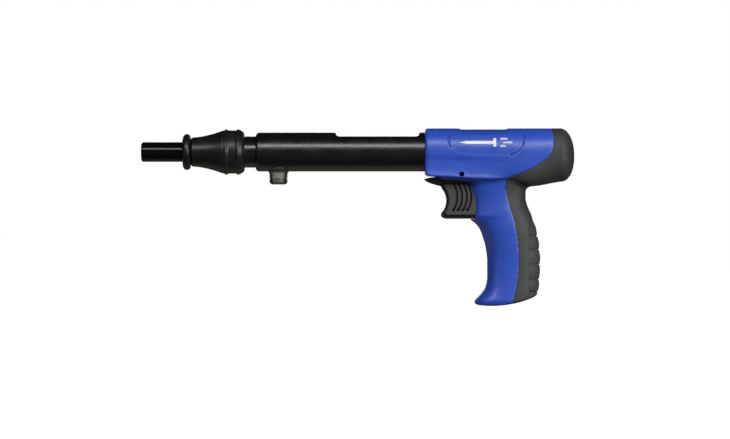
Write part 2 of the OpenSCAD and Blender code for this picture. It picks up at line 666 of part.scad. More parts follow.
// Pan-head screws with a hexagon socket, driven in from the right
module housing_screws() color([0.2, 0.2, 0.21]) for (s = screws) difference() {
    union() {
        rod_y([s[0], s[1]], screw_end_y, s[2] + 1, screw_r);
        rod_y([s[0], s[1]], s[2] + 0.02, s[2] + 2.4, screw_head_r);
    }
    translate([s[0], s[2] + 0.9, s[1]]) rotate([-90, 0, 0]) cylinder(h = 3, r = 1.7, $fn = 6);
}

fastener_guide();
nose_cone();
locking_collar();
stop_spring();
stop_disc();
buffer_ring();
barrel();
detent_ring();
extractor();
piston();
piston_rings();
receiver_tube();
retainer_boss();
retainer_pin();
retainer_cap();
retainer_spring();
breech_block();
firing_pin();
firing_pin_spring();
return_spring();
spring_seat_ring();
rebound_bumper();
hammer();
hammer_spring();
rear_plug();
plug_pin();
trigger();
guide_pin();
sear();
sear_pin();
sear_spring();
trigger_spring();
left_shell();
right_shell();
left_overmould();
right_overmould();
housing_screws();
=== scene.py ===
"""Powder-actuated nail gun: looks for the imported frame.

Lengths in the shape code are millimetres in the shared frame, and MM turns them into metres.
The muzzle is the origin, +X runs back along the bore and +Z is up. The side plane is x and z.
In the outlines, u is a distance behind the housing's front and z is a height.
"""

import json
import math

import bmesh
import bpy
import numpy as np
from mathutils import Matrix, Vector


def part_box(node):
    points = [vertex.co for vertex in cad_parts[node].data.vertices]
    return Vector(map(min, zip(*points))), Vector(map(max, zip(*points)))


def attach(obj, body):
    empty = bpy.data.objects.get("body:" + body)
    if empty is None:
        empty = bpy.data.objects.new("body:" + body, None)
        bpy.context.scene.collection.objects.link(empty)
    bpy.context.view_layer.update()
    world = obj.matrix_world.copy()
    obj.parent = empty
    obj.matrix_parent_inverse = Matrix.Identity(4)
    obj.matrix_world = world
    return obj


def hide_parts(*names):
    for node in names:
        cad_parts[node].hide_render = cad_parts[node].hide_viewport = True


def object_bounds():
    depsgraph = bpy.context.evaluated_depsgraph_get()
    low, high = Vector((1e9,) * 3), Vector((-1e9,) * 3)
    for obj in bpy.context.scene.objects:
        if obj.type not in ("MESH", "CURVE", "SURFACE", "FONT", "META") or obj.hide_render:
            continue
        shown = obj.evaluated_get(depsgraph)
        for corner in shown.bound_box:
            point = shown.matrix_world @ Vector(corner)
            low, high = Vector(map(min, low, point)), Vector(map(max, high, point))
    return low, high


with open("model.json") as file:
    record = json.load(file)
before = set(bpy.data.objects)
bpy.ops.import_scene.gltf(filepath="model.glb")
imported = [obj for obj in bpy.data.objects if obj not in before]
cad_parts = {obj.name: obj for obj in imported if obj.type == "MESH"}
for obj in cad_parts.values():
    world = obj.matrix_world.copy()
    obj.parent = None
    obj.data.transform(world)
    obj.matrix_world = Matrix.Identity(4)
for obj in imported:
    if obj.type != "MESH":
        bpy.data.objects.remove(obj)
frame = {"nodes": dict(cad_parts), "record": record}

MM = 0.001
CAD_BOUNDS = [list(corner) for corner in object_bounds()]


def cad_box(node):
    """A CAD node's lowest and highest corners, in millimetres."""
    return [np.array(corner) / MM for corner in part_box(node)]


def side_middle(low, high):
    """The x and z of the middle of a box."""
    return ((low[0] + high[0]) / 2, (low[2] + high[2]) / 2)


# ---------------------------------------------------------------- sizes from the frame

SHELL_LO, SHELL_HI = cad_box("left_shell")[0], cad_box("right_shell")[1]
TUBE_LO, TUBE_HI = cad_box("receiver_tube")
TRIGGER_LO, TRIGGER_HI = cad_box("trigger")
PLUG_PIN_LO, PLUG_PIN_HI = cad_box("plug_pin")
GUIDE_PIN = side_middle(*cad_box("guide_pin"))
SEAR_PIN = side_middle(*cad_box("sear_pin"))

FRONT, SOLE = SHELL_LO[0], SHELL_LO[2]
REAR = cad_box("left_overmould")[1][0]
TOP = SHELL_HI[2] - 0.01
HALF_WIDTH = SHELL_HI[1] - 0.02
TUBE_R = TUBE_HI[2]
TRIGGER_TOP, TRIGGER_FLOOR = -20.1, TRIGGER_LO[2]
TRIGGER_HALF = TRIGGER_HI[1]
FAR = 60.0  # well outside the tool, for tools that cut right through


# ---------------------------------------------------------------- curves


def smooth_curve(points):
    """A function through the points that never overshoots them, from pairs whose first number grows."""
    s, v = np.array(points, float).T
    h, slope = np.diff(s), np.diff(v) / np.diff(s)
    tangent = np.concatenate([[slope[0]], np.zeros(len(s) - 2), [slope[-1]]])
    same = slope[:-1] * slope[1:] > 0
    safe = np.where(same, slope[:-1] + slope[1:], 1)
    tangent[1:-1] = np.where(same, 2 * slope[:-1] * slope[1:] / safe, 0)

    def value(q):
        q = np.clip(q, s[0], s[-1])
        i = np.clip(np.searchsorted(s, q) - 1, 0, len(h) - 1)
        t = (q - s[i]) / h[i]
        rise = h[i] * (t * (1 - t) ** 2 * tangent[i] - t**2 * (1 - t) * tangent[i + 1])
        return v[i] * (1 + 2 * t) * (1 - t) ** 2 + v[i + 1] * t**2 * (3 - 2 * t) + rise

    return value


def spline(points, steps=8, closed=False):
    """Points along a Catmull-Rom spline through the given ones."""
    p = np.array(points, float)
    n = len(p)
    out = []
    for i in range(n if closed else n - 1):
        a, b, c, d = [
            p[j % n] if closed else p[min(max(j, 0), n - 1)] for j in range(i - 1, i + 3)
        ]
        for t in np.arange(steps) / steps:
            slope, bend, twist = c - a, 2 * a - 5 * b + 4 * c - d, 3 * b - a - 3 * c + d
            out.append(0.5 * (2 * b + slope * t + bend * t**2 + twist * t**3))
    if not closed:
        out.append(p[-1])
    return np.array(out)


def arc(centre, r, a0, a1, count=14):
    """Points of an arc between two angles in degrees."""
    angles = np.radians(np.linspace(a0, a1, count))
    return [(centre[0] + r * math.cos(a), centre[1] + r * math.sin(a)) for a in angles]


def step(t):
    """0 below 0, 1 above 1, and smooth between them."""
    t = np.clip(t, 0, 1)
    return t * t * (3 - 2 * t)


def smooth_min(a, b, r):
    """The lower of two fields, blended where they are less than r apart."""
    h = np.clip(0.5 + 0.5 * (b - a) / r, 0, 1)
    return b * (1 - h) + a * h - r * h * (1 - h)


def smooth_max(a, b, r):
    """The higher of two fields, blended where they are less than r apart."""
    return -smooth_min(-a, -b, r)


def squared_distance(x, z, a, b):
    """Squared distance from the straight stretch between two points of the side plane."""
    ex, ez = b[0] - a[0], b[1] - a[1]
    t = np.clip(((x - a[0]) * ex + (z - a[1]) * ez) / (ex * ex + ez * ez), 0, 1)
    return (x - a[0] - t * ex) ** 2 + (z - a[1] - t * ez) ** 2


def outline_distance(x, z, outline):
    """Signed distance from a closed outline in the side plane, negative inside."""
    p = np.asarray(outline, float)
    best = np.full(np.broadcast(x, z).shape, 1e9)
    inside = np.zeros(best.shape, bool)
    for a, b in zip(p, np.roll(p, -1, axis=0)):
        best = np.minimum(best, squared_distance(x, z, a, b))
        rise = b[1] - a[1]
        crosses = (a[1] > z) != (b[1] > z)
        at = a[0] + (z - a[1]) * (b[0] - a[0]) / (rise if rise else 1e-12)
        inside ^= crosses & (x < at)
    return np.where(inside, -1, 1) * np.sqrt(best)


def path_distance(x, z, path):
    """Distance from an open path in the side plane."""
    best = np.full(np.broadcast(x, z).shape, 1e9)
    for a, b in zip(path[:-1], path[1:]):
        best = np.minimum(best, squared_distance(x, z, a, b))
    return np.sqrt(best)


# ---------------------------------------------------------------- meshes


def new_object(name, mesh):
    obj = bpy.data.objects.new(name, mesh)
    bpy.context.scene.collection.objects.link(obj)
    return obj


def mesh_from(name, vertices, faces):
    """A mesh object from millimetre points."""
    mesh = bpy.data.meshes.new(name)
    mesh.from_pydata((np.asarray(vertices) * MM).tolist(), [], [list(map(int, f)) for f in faces])
    mesh.validate()
    return new_object(name, mesh)


def surface_net(name, field, low, high, cell, passes=4):
    """A closed mesh of the surface where field is 0, with one vertex in each cell that it crosses."""
    axes = [np.arange(low[i] - 2 * cell, high[i] + 3 * cell, cell) for i in range(3)]
    x, y, z = np.meshgrid(*axes, indexing="ij", sparse=True)
    inside = np.broadcast_to(field(x, y, z), [len(a) for a in axes]) < 0
    count = np.zeros([len(a) - 1 for a in axes], np.int8)
    for i in (0, 1):
        for j in (0, 1):
            for k in (0, 1):
                count += inside[i : i + count.shape[0], j : j + count.shape[1], k : k + count.shape[2]]
    mixed = (count > 0) & (count < 8)
    index = np.full(count.shape, -1, np.int64)
    index[mixed] = np.arange(mixed.sum())
    where = np.argwhere(mixed)
    points = np.stack([axes[i][where[:, i]] + cell / 2 for i in range(3)], 1)

    faces = []
    for axis in range(3):
        flip = np.diff(inside.astype(np.int8), axis=axis)
        b, c = (axis + 1) % 3, (axis + 2) % 3
        at = np.argwhere(flip != 0)
        ok = (at[:, b] > 0) & (at[:, c] > 0) & (at[:, b] < count.shape[b]) & (at[:, c] < count.shape[c])
        at = at[ok]
        sign = flip[tuple(at.T)]
        quad = []
        for db, dc in ((1, 1), (0, 1), (0, 0), (1, 0)):
            cell_at = at.copy()
            cell_at[:, b] -= db
            cell_at[:, c] -= dc
            quad.append(index[tuple(cell_at.T)])
        quad = np.stack(quad, 1)
        quad[sign > 0] = quad[sign > 0][:, ::-1]
        faces.append(quad)
    faces = np.concatenate(faces)

    for _ in range(passes):
        points = project(field, points, cell)
    mesh = bpy.data.meshes.new(name)
    mesh.vertices.add(len(points))
    mesh.vertices.foreach_set("co", (points * MM).ravel())
    mesh.loops.add(faces.size)
    mesh.loops.foreach_set("vertex_index", faces.ravel().astype(np.int32))
    mesh.polygons.add(len(faces))
    mesh.polygons.foreach_set("loop_start", np.arange(0, faces.size, 4, dtype=np.int32))
    mesh.polygons.foreach_set("loop_total", np.full(len(faces), 4, np.int32))
    mesh.update(calc_edges=True)
    mesh.validate()
    return new_object(name, mesh)


def gradient(field, p, reach=0.02):
    """The field's slope at points, from its values `reach` to either side."""
    x, y, z = p.T
    return np.stack(
        [
            field(x + reach, y, z) - field(x - reach, y, z),
            field(x, y + reach, z) - field(x, y - reach, z),
            field(x, y, z + reach) - field(x, y, z - reach),
        ],
        1,
    ) / (2 * reach)


def project(field, p, limit):
    """One Newton step of the points towards the surface."""
    value, slope = field(*p.T), gradient(field, p)
    move = -value[:, None] * slope / np.maximum((slope**2).sum(1), 1e-6)[:, None]
    length = np.linalg.norm(move, axis=1)[:, None]
    return p + move * np.minimum(1, limit / np.maximum(length, 1e-9))


def boolean(obj, tool, operation, drop_tool=True):
    """obj with tool united, intersected or taken away. The result is a new mesh on obj."""
    mod = obj.modifiers.new("boolean", "BOOLEAN")
    mod.operation = operation
    mod.solver = "MANIFOLD"
    mod.object = tool
    bpy.context.view_layer.update()
    result = bpy.data.meshes.new_from_object(obj.evaluated_get(bpy.context.evaluated_depsgraph_get()))
    obj.modifiers.remove(mod)
    obj.data = result
    if drop_tool:
        bpy.data.objects.remove(tool)
    if not result.polygons:
        raise RuntimeError(f"{obj.name}: nothing is left after {operation}")
    return obj


def copy_of(obj, name):
    return new_object(name, obj.data.copy())


def box_tool(low, high):
    x0, y0, z0 = low
    x1, y1, z1 = high
    v = [(x, y, z) for x in (x0, x1) for y in (y0, y1) for z in (z0, z1)]
    f = [(0, 1, 3, 2), (4, 6, 7, 5), (0, 4, 5, 1), (2, 3, 7, 6), (0, 2, 6, 4), (1, 5, 7, 3)]
    return mesh_from("box_tool", v, f)


def between_rings(name, start, end):
    """A solid between two rings with the same number of points."""
    n = len(start)
    f = [(i, (i + 1) % n, n + (i + 1) % n, n + i) for i in range(n)]
    f += [tuple(reversed(range(n))), tuple(range(n, 2 * n))]
    return outward(mesh_from(name, start + end, f))


def rod_tool(axis, start, end, at, r, sides=64):
    """A rod along x or y, from start to end, round the point `at` of the other two coordinates."""
    ring = [(r * math.cos(a), r * math.sin(a)) for a in np.arange(sides) * 2 * math.pi / sides]
    if axis == "x":
        ends = [[(s, at[0] + p, at[1] + q) for p, q in ring] for s in (start, end)]
    else:
        ends = [[(at[0] + p, s, at[1] + q) for p, q in ring] for s in (start, end)]
    return between_rings("rod_tool", *ends)


def prism_tool(outline, y0, y1, shift=(0, 0)):
    """A prism across the tool, on an outline in the side plane."""
    ends = [[(x + shift[0], y, z + shift[1]) for x, z in outline] for y in (y0, y1)]
    return between_rings("prism_tool", *ends)


def plate_tool(outline, z0, z1):
    """An upright prism on an outline of (x, y)."""
    ends = [[(x, y, z) for x, y in outline] for z in (z0, z1)]
    return between_rings("plate_tool", *ends)


def outward(obj):
    """Faces turned outwards, and long flat ones cut into triangles."""
    bm = bmesh.new()
    bm.from_mesh(obj.data)
    bmesh.ops.triangulate(bm, faces=[f for f in bm.faces if len(f.verts) > 4])
    bmesh.ops.recalc_face_normals(bm, faces=bm.faces)
    bm.to_mesh(obj.data)
    bm.free()
    return obj


def shade(obj, degrees=32):
    obj.data.shade_smooth()
    obj.data.set_sharp_from_angle(angle=math.radians(degrees))
    return obj


def paint(obj, material):
    """The material on the whole object."""
    obj.data.materials.clear()
    obj.data.materials.append(MATERIALS[material])


def read_points(obj):
    """An object's vertices in millimetres."""
    co = np.empty(len(obj.data.vertices) * 3)
    obj.data.vertices.foreach_get("co", co)
    return co.reshape(-1, 3) / MM


def write_points(obj, points):
    obj.data.vertices.foreach_set("co", (points * MM).ravel())
    obj.data.update()


# ---------------------------------------------------------------- the housing's form


def side_points(pairs):
    """Points of the side plane from (u, z) pairs."""
    return [(FRONT + u, z) for u, z in pairs]


def edge_curve(pairs):
    """The x of an edge at any height, from (z, u) pairs."""
    return smooth_curve([(z, FRONT + u) for z, u in pairs])


DOME_U = 108.4
DOME_START = FRONT + DOME_U
DOME_LENGTH = REAR - DOME_START
belly = smooth_curve([
    (0, -18.7), (6, -19.5), (14, -19.9), (29, -20.9), (41, -21.8), (58, -22.3), (70, -24), (83, -27.6),
    (DOME_U, -23.8)])
grip_front = edge_curve([
    (-126, 37), (-119, 39.6), (-113, 45.0), (-107, 48.6), (-99, 50.0), (-86, 50.0), (-76, 48.8),
    (-68, 46.6), (-62, 44.3), (-57.5, 41.0), (-55.6, 38.8), (-54, 36.9), (-51.5, 38.0), (-46, 39.1),
    (-38, 38.5), (-32, 36.6), (-27.4, 34.8), (-25, 31.6), (-23.7, 25.8), (-22.4, 12), (-20.8, 8),
    (-19, 6), (-10, 5)])
grip_back = edge_curve([
    (-126, 90.2), (-118, 91.0), (-112, 91.6), (-100, 92.6), (-88, 93.0), (-73, 92.0), (-61, 89.6),
    (-50, 85.9), (-43, 82.3), (-37, 80.9), (-31, 80.9), (-22, 82), (-10, 84)])
grip_half = smooth_curve([
    (-126, 17.8), (-112, 16.7), (-96, 15.9), (-80, 15.8), (-66, 15.9), (-57, 15.6), (-49, 14.9),
    (-42, 13.9), (-36, 13.5), (-31, 13.8), (-26, 14.7), (-22, 16.0), (-18, 17.4), (-10, 18.0)])

# How square the sections are: 2 is an ellipse
FLANK_POWER, BELLY_POWER, GRIP_POWER = 2.32, 4.6, 2.35
FLARE = 1.2  # how far the flanks draw in above the belly
FRONT_EDGE_R, BELLY_EDGE_R = 3.2, 1.3
LEDGE_START, LEDGE_END, LEDGE_RISE, LEDGE_DEPTH = FRONT + 27.2, FRONT + 64.8, 2.4, 0.8
SOLE_CENTRE, SOLE_R = (FRONT + 52.6, -32.9), -32.9 - SOLE - 0.03

PANEL = spline(side_points([
    (18.3, 13.6), (18.9, 8.6), (20.2, 2.8), (23.4, -0.6), (30, -2.7), (40, -4.0), (66, -4.0),
    (71, -2.0), (75.2, 1.2), (78, 5.2), (79, 9.4), (79.3, 13.6)]), 6)
PANEL_LEFT = spline(side_points([(18.3, 13.2), (18.9, 8.6), (20.2, 3.4)]), 4)
PANEL_RIGHT = spline(side_points([
    (67.5, -2.9), (71.4, -1.6), (75.2, 1.2), (77.8, 5.2), (78.7, 9.4), (79, 13.2)]), 4)
BOWL_DEPTH, BOWL_RIM = 0.2, 2.6
LINE_DEPTH, LINE_WIDTH = 0.9, 0.55
SCOOP_DEPTH = 2.1

PAD_START = FRONT + 82.8
RIB_HEIGHTS = (-54.5, -67, -78, -89.8, -101.7, -111.6)
RIB_WIDTH, RIB_DEPTH, TOP_RIB = 0.55, 0.75, 0.45
PAD_SINK, SCALLOP_DEPTH = 0.35, 0.5


def body_field(x, y, z):
    """Roughly the distance outside the housing's upper body."""
    u = x - FRONT
    bottom = belly(u)
    mid, tall = (TOP + bottom) / 2, (TOP - bottom) / 2
    wide = HALF_WIDTH - 0.6 * step(1 - u / 5) - 0.5 * step((u - 92) / 22)
    low = step((mid - z) / 6)

    # A rounded section, squarer below the middle, that closes in a dome at the rear
    dome = np.maximum(0, x - DOME_START) / DOME_LENGTH
    power = FLANK_POWER + (BELLY_POWER - FLANK_POWER) * low * (1 - step((u - 78) / 26))
    section = (np.abs(y / wide) ** power + np.abs((z - mid) / tall) ** power) ** (1 / power)
    blend = 2 + 0.3 * low
    rho = (section**blend + dome**blend) ** (1 / blend) + 1e-9
    reach = np.sqrt(y**2 + (z - mid) ** 2 + np.maximum(0, x - DOME_START) ** 2) + 1e-9
    outside = reach * (1 - 1 / rho)

    # Towards the front the flanks draw in and flare out again to the belly's edge
    drop = np.maximum(0, mid - z)
    flank = wide - FLARE * step(drop / 8) + FLARE * (np.maximum(0, drop - 6) / 13) ** 3
    flared = smooth_max(np.abs(y) - np.minimum(flank, wide), bottom - z, BELLY_EDGE_R)
    skirt = 1 - step((u - 52) / 22)
    outside = outside + (flared - outside) * low * skirt

    # The shallow step along the top
    span = step((x - LEDGE_START) / LEDGE_RISE) - step((x - LEDGE_END) / LEDGE_RISE)
    ledge = LEDGE_DEPTH * span * step((z - 14) / 3)
    return smooth_max(outside + ledge, FRONT - x, FRONT_EDGE_R)


def grip_field(x, y, z):
    """Roughly the distance outside the grip."""
    front, back, half = grip_front(z), grip_back(z), grip_half(z)
    mid, deep = (front + back) / 2, (back - front) / 2
    power = GRIP_POWER
    rho = (np.abs((x - mid) / deep) ** power + np.abs(y / half) ** power) ** (1 / power) + 1e-9
    outside = (np.sqrt((x - mid) ** 2 + y**2) + 1e-9) * (1 - 1 / rho)
    sole = np.sqrt((x - SOLE_CENTRE[0]) ** 2 + (z - SOLE_CENTRE[1]) ** 2) - SOLE_R
    sole_edge_r = 5 - 2.5 * step((x - FRONT - 60) / 15)
    return smooth_max(smooth_max(outside, sole, sole_edge_r), z - 5, 3)


def form_field(x, y, z):
    """The whole housing without its small details. The body and the grip blend wider to the rear."""
    blend = 1.6 + 1.8 * step((x - FRONT - 46) / 12) + 2 * step((x - FRONT - 66) / 18)
    return smooth_min(body_field(x, y, z), grip_field(x, y, z), blend)


def rib_depth(x, z):
    """The grooves over the back of the grip, with scallops between them. The top one is faint."""
    strength = [TOP_RIB] + [1] * (len(RIB_HEIGHTS) - 1)
    grooves = sum(s * np.exp(-(((z - h) / RIB_WIDTH) ** 2)) for s, h in zip(strength, RIB_HEIGHTS))
    heights = np.array(sorted(RIB_HEIGHTS))
    phase = np.interp(z, heights, np.arange(len(heights)))
    inside = step((z - heights[0] + 5) / 5) * step((heights[-1] + 14 - z) / 16)
    scallop = 0.5 + 0.5 * np.cos(2 * math.pi * phase)
    pad = PAD_SINK * inside + SCALLOP_DEPTH * inside * scallop + RIB_DEPTH * grooves
    return step((x - PAD_START) / 0.9) * pad


def detail_field(x, y, z):
    """The housing with its panel, finger scoop and ribbed pad."""
    bowl = BOWL_DEPTH * step(-outline_distance(x, z, PANEL) / BOWL_RIM)
    for line in (PANEL_LEFT, PANEL_RIGHT):
        bowl = bowl + LINE_DEPTH * np.exp(-((path_distance(x, z, line) / LINE_WIDTH) ** 2))
    scoop = SCOOP_DEPTH * step((-50.6 - z) / 4) * step((z + 112) / 40)
    scoop = scoop * step((FRONT + 65 - x) / 18) * step((np.abs(y) - 2) / 7)
    return form_field(x, y, z) + bowl + scoop + rib_depth(x, z)


# ---------------------------------------------------------------- the housing's pieces

RUBBER_EDGE = spline(side_points([
    (101.4, 32), (101.8, 18), (102.5, 8), (100.8, 0), (96.4, -5.6), (85.2, -12.8), (74, -17.6),
    (66.4, -21.2), (64.4, -26), (64.6, -31), (66.8, -41), (70.8, -54.4), (73.6, -69), (74.8, -84),
    (74.4, -95), (72.6, -108), (69.6, -121), (68, -134)]), 8)
RUBBER_SIDE = [tuple(p) for p in RUBBER_EDGE] + [(REAR + 30, -134), (REAR + 30, 32)]
JOINT_SHIFT = 0.08  # how far each side of the two-colour joint stands back
SEAM = 0.05  # half the gap between the left and the right pieces
INSET_PANEL, INSET_RUBBER, INSET_ROOM = 0.22, 2.5, 5.1
POST_R, SCREW_ROOM_R, HEAD_ROOM_R = 4.4, 1.9, 4.2


def islands(obj):
    """The lowest and highest corners of each loose part of a mesh, in millimetres."""
    bm = bmesh.new()
    bm.from_mesh(obj.data)
    bmesh.ops.remove_doubles(bm, verts=bm.verts, dist=1e-6)
    left, found = set(bm.verts), []
    while left:
        stack, part = [left.pop()], []
        while stack:
            v = stack.pop()
            part.append(v.co.copy())
            for e in v.link_edges:
                w = e.other_vert(v)
                if w in left:
                    left.remove(w)
                    stack.append(w)
        p = np.array(part) / MM
        found.append((p.min(0), p.max(0)))
    bm.free()
    return sorted(found, key=lambda b: tuple(b[0]))


def soften_edges(obj, field, insets):
    """Pulls the outer edges along the seam and the two-colour joint slightly in."""
    p = read_points(obj)
    value = field(*p.T)
    outer = np.zeros(len(p), bool)
    for inset in insets:
        outer |= np.abs(value + inset) < 0.06
    near_joint = path_distance(p[:, 0], p[:, 2], RUBBER_EDGE) < JOINT_SHIFT * 1.8
    near_seam = np.abs(p[:, 1]) < SEAM * 1.5
    pick = outer & (near_joint | near_seam)
    slope = gradient(field, p[pick])
    slope /= np.maximum(np.linalg.norm(slope, axis=1), 1e-6)[:, None]
    p[pick] -= 0.16 * slope
    write_points(obj, p)


def whole_housing():
    """The shell and the overmould, before they are cut along the seam."""
    low = np.array([FRONT, -HALF_WIDTH, SOLE])
    high = np.array([REAR, HALF_WIDTH, TOP])
    cell, core_cell, room_cell = 0.55, 1.4, 1.6

    def inset(name, field, depth, size):
        return surface_net(name, lambda x, y, z: field(x, y, z) + depth, low, high, size)

    shell = surface_net("shell", detail_field, low, high, cell)
    under = inset("under", detail_field, INSET_PANEL, cell)
    core = inset("core", form_field, INSET_RUBBER, core_cell)
    room = inset("room", form_field, INSET_ROOM, room_cell)

    # A crisp step round the panel
    boolean(shell, prism_tool(PANEL[::-1], -FAR, FAR), "DIFFERENCE")
    boolean(shell, under, "UNION")

    rubber = copy_of(shell, "rubber")
    boolean(rubber, prism_tool(RUBBER_SIDE, -FAR, FAR, (JOINT_SHIFT, -JOINT_SHIFT)), "INTERSECT")
    boolean(rubber, core, "DIFFERENCE", drop_tool=False)

    boolean(shell, prism_tool(RUBBER_SIDE, -FAR, FAR, (-JOINT_SHIFT, JOINT_SHIFT)), "DIFFERENCE")
    boolean(shell, core, "UNION", drop_tool=False)
    boolean(shell, room, "DIFFERENCE")
    add_screw_posts(shell, rubber, core)
    bpy.data.objects.remove(core)
    return shell, rubber


def add_screw_posts(shell, rubber, core):
    """A post in the shell for each screw, and the screw's room through shell and overmould."""
    for lo, hi in islands(frame["nodes"]["housing_screws"]):
        centre = side_middle(lo, hi)
        post = rod_tool("y", -FAR, FAR, centre, POST_R, 40)
        boolean(post, core, "INTERSECT", drop_tool=False)
        boolean(shell, post, "UNION")
        for piece in (shell, rubber):
            boolean(piece, rod_tool("y", lo[1] - 0.8, FAR, centre, SCREW_ROOM_R, 32), "DIFFERENCE")
            boolean(piece, rod_tool("y", hi[1] - 2.4, FAR, centre, HEAD_ROOM_R, 48), "DIFFERENCE")


def cut_openings(shell):
    """Room for the receiver tube, the trigger, the guide pin and the plug pin."""
    slot, slot_top = TRIGGER_HALF + 0.3, TRIGGER_TOP + 0.3
    plug = ((PLUG_PIN_LO[0] + PLUG_PIN_HI[0]) / 2, 0)
    for tool in (
        rod_tool("x", FRONT - 5, TUBE_HI[0] + 0.5, (0, 0), TUBE_R + 0.15, 96),
        box_tool((GUIDE_PIN[0] - 14, -5.4, -22.2), (GUIDE_PIN[0] + 34, 5.4, -12)),
        box_tool((FRONT + 30, -slot, TRIGGER_FLOOR - 0.12), (TRIGGER_HI[0] + 7, slot, slot_top)),
        box_tool((FRONT - 5, -slot, -30), (FRONT + 39, slot, slot_top)),
        rod_tool("y", -FAR, FAR, GUIDE_PIN, 2.05, 40),
        rod_tool("y", PLUG_PIN_LO[1] - 0.3, PLUG_PIN_HI[1] + 0.3, plug, 2.1, 40),
    ):
        boolean(shell, tool, "DIFFERENCE")


def make_housing():
    """The two shells and the two overmoulds."""
    shell, rubber = whole_housing()
    cut_openings(shell)
    kinds = ((shell, "shell", "blue_plastic"), (rubber, "overmould", "grey_rubber"))
    for side, (y0, y1) in {"left": (-FAR, -SEAM), "right": (SEAM, FAR)}.items():
        for source, kind, slot_name in kinds:
            piece = copy_of(source, f"{side}_{kind}_skin")
            boolean(piece, box_tool((FRONT - 9, y0, SOLE - 9), (REAR + 9, y1, TOP + 9)), "INTERSECT")
            soften_edges(piece, detail_field, (0, INSET_PANEL))
            shade(piece)
            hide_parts(f"{side}_{kind}")
            paint(piece, slot_name)
            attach(piece, "housing")
    for whole in (shell, rubber):
        bpy.data.objects.remove(whole)


# ---------------------------------------------------------------- the printed mark

# A plain nail that points to the muzzle, with three dashes behind its head
MARK_X, MARK_Z = FRONT + 27.4, 7.2
MARK_LENGTH, MARK_HALF = 42, 4
MARK_SHAPES = [
    [(0, 0), (5, -1.2), (27, -1.2), (27, 1.2), (5, 1.2)],
    [(27, -3.7), (29.2, -3.4), (29.2, 3.4), (27, 3.7)],
    [(34.8, -0.65), (MARK_LENGTH, -0.65), (MARK_LENGTH, 0.65), (34.8, 0.65)],
    [(32.4, 2.3), (38.2, 2.3), (38.2, 3.6), (32.4, 3.6)],
    [(32.4, -3.6), (36.6, -3.6), (36.6, -2.3), (32.4, -2.3)],
]


def skin_y(x, z, inset):
    """How far out the housing's flank is at these points of the side plane."""
    lo, hi = np.zeros(len(x)), np.full(len(x), HALF_WIDTH + 1)
    for _ in range(26):
        mid = (lo + hi) / 2
        out = detail_field(x, mid, z) + inset > 0
        hi = np.where(out, mid, hi)
        lo = np.where(out, lo, mid)
    return (lo + hi) / 2


def make_mark(side):
    """The mark, printed in white on one side's panel."""
    y_sign = -1 if side == "left" else 1
    bm = bmesh.new()
    for shape in MARK_SHAPES:
        bm.faces.new([bm.verts.new(((MARK_X + x) * MM, 0, (MARK_Z + z) * MM)) for x, z in shape])

    # Cut into millimetre cells, so that the flat shapes can follow the flank
    x_cuts, z_cuts = np.arange(1, MARK_LENGTH, 1.0), np.arange(-MARK_HALF, MARK_HALF + 0.1, 1.0)
    for normal, cuts in (((1, 0, 0), x_cuts), ((0, 0, 1), z_cuts)):
        for cut in cuts:
            geometry = bm.verts[:] + bm.edges[:] + bm.faces[:]
            at = ((MARK_X + cut) * MM, 0, (MARK_Z + cut) * MM)
            bmesh.ops.bisect_plane(bm, geom=geometry, plane_co=at, plane_no=normal)
    p = np.array([v.co for v in bm.verts]) / MM
    y = skin_y(p[:, 0], p[:, 2], INSET_PANEL) + 0.01
    for v, out in zip(bm.verts, y):
        v.co.y = y_sign * out * MM
    bmesh.ops.recalc_face_normals(bm, faces=bm.faces)
    for f in bm.faces:
        if f.normal.y * y_sign < 0:
            f.normal_flip()

    mesh = bpy.data.meshes.new(f"{side}_mark")
    bm.to_mesh(mesh)
    bm.free()
    obj = new_object(f"{side}_mark", mesh)
    ink = obj.modifiers.new("ink", "SOLIDIFY")
    ink.thickness = 0.05 * MM
    ink.offset = 1
    paint(obj, "white_print")
    shade(obj)
    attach(obj, "housing")


# ---------------------------------------------------------------- the trigger

FACE_CENTRE, FACE_R = (FRONT + 2.6, -38.8), 14.8
TRIGGER_BACK, NECK_X = TRIGGER_HI[0], FRONT + 41.6
CHEEK = arc(FACE_CENTRE, FACE_R, 42, -39) + [
    (FRONT + 15.6, -52.4), (TRIGGER_BACK, -52.4), (TRIGGER_BACK, -27), (NECK_X, -27), (NECK_X, -24),
    (FRONT + 12.6, -24)]
WING = spline(side_points([(-0.7, -21.9), (3.2, -24.4), (8.2, -26.1), (13.3, -27.4)]), 5).tolist() + [
    (FRONT + 15, -26.4), (NECK_X, -26.4), (NECK_X, TRIGGER_TOP), (FRONT + 9, TRIGGER_TOP),
    (FRONT + 4, -20.5)]
TOE = spline(side_points([(17.2, TRIGGER_FLOOR), (14.2, -52.3), (13.1, -50.0), (14.4, -47.6)]), 5).tolist()
TOE += [(FRONT + 17.5, -47.6), (FRONT + 19.5, -49.2), (TRIGGER_BACK, -49.2), (TRIGGER_BACK, TRIGGER_FLOOR)]
GROOVES = [arc((FRONT + 7.2 + d, -36.2), 18.7, 31.5, -34) for d in (0, 3.8, 7.7, 11.3)]
GROOVE_R, GROOVE_END_R = 0.85, 1.1


def rounded_plate(flat, y, half, r):
    """The field of a plate from its outline's distance, with edges rounded to r."""
    a, b = flat + r, np.abs(y) - half + r
    return np.sqrt(np.maximum(a, 0) ** 2 + np.maximum(b, 0) ** 2) + np.minimum(np.maximum(a, b), 0) - r


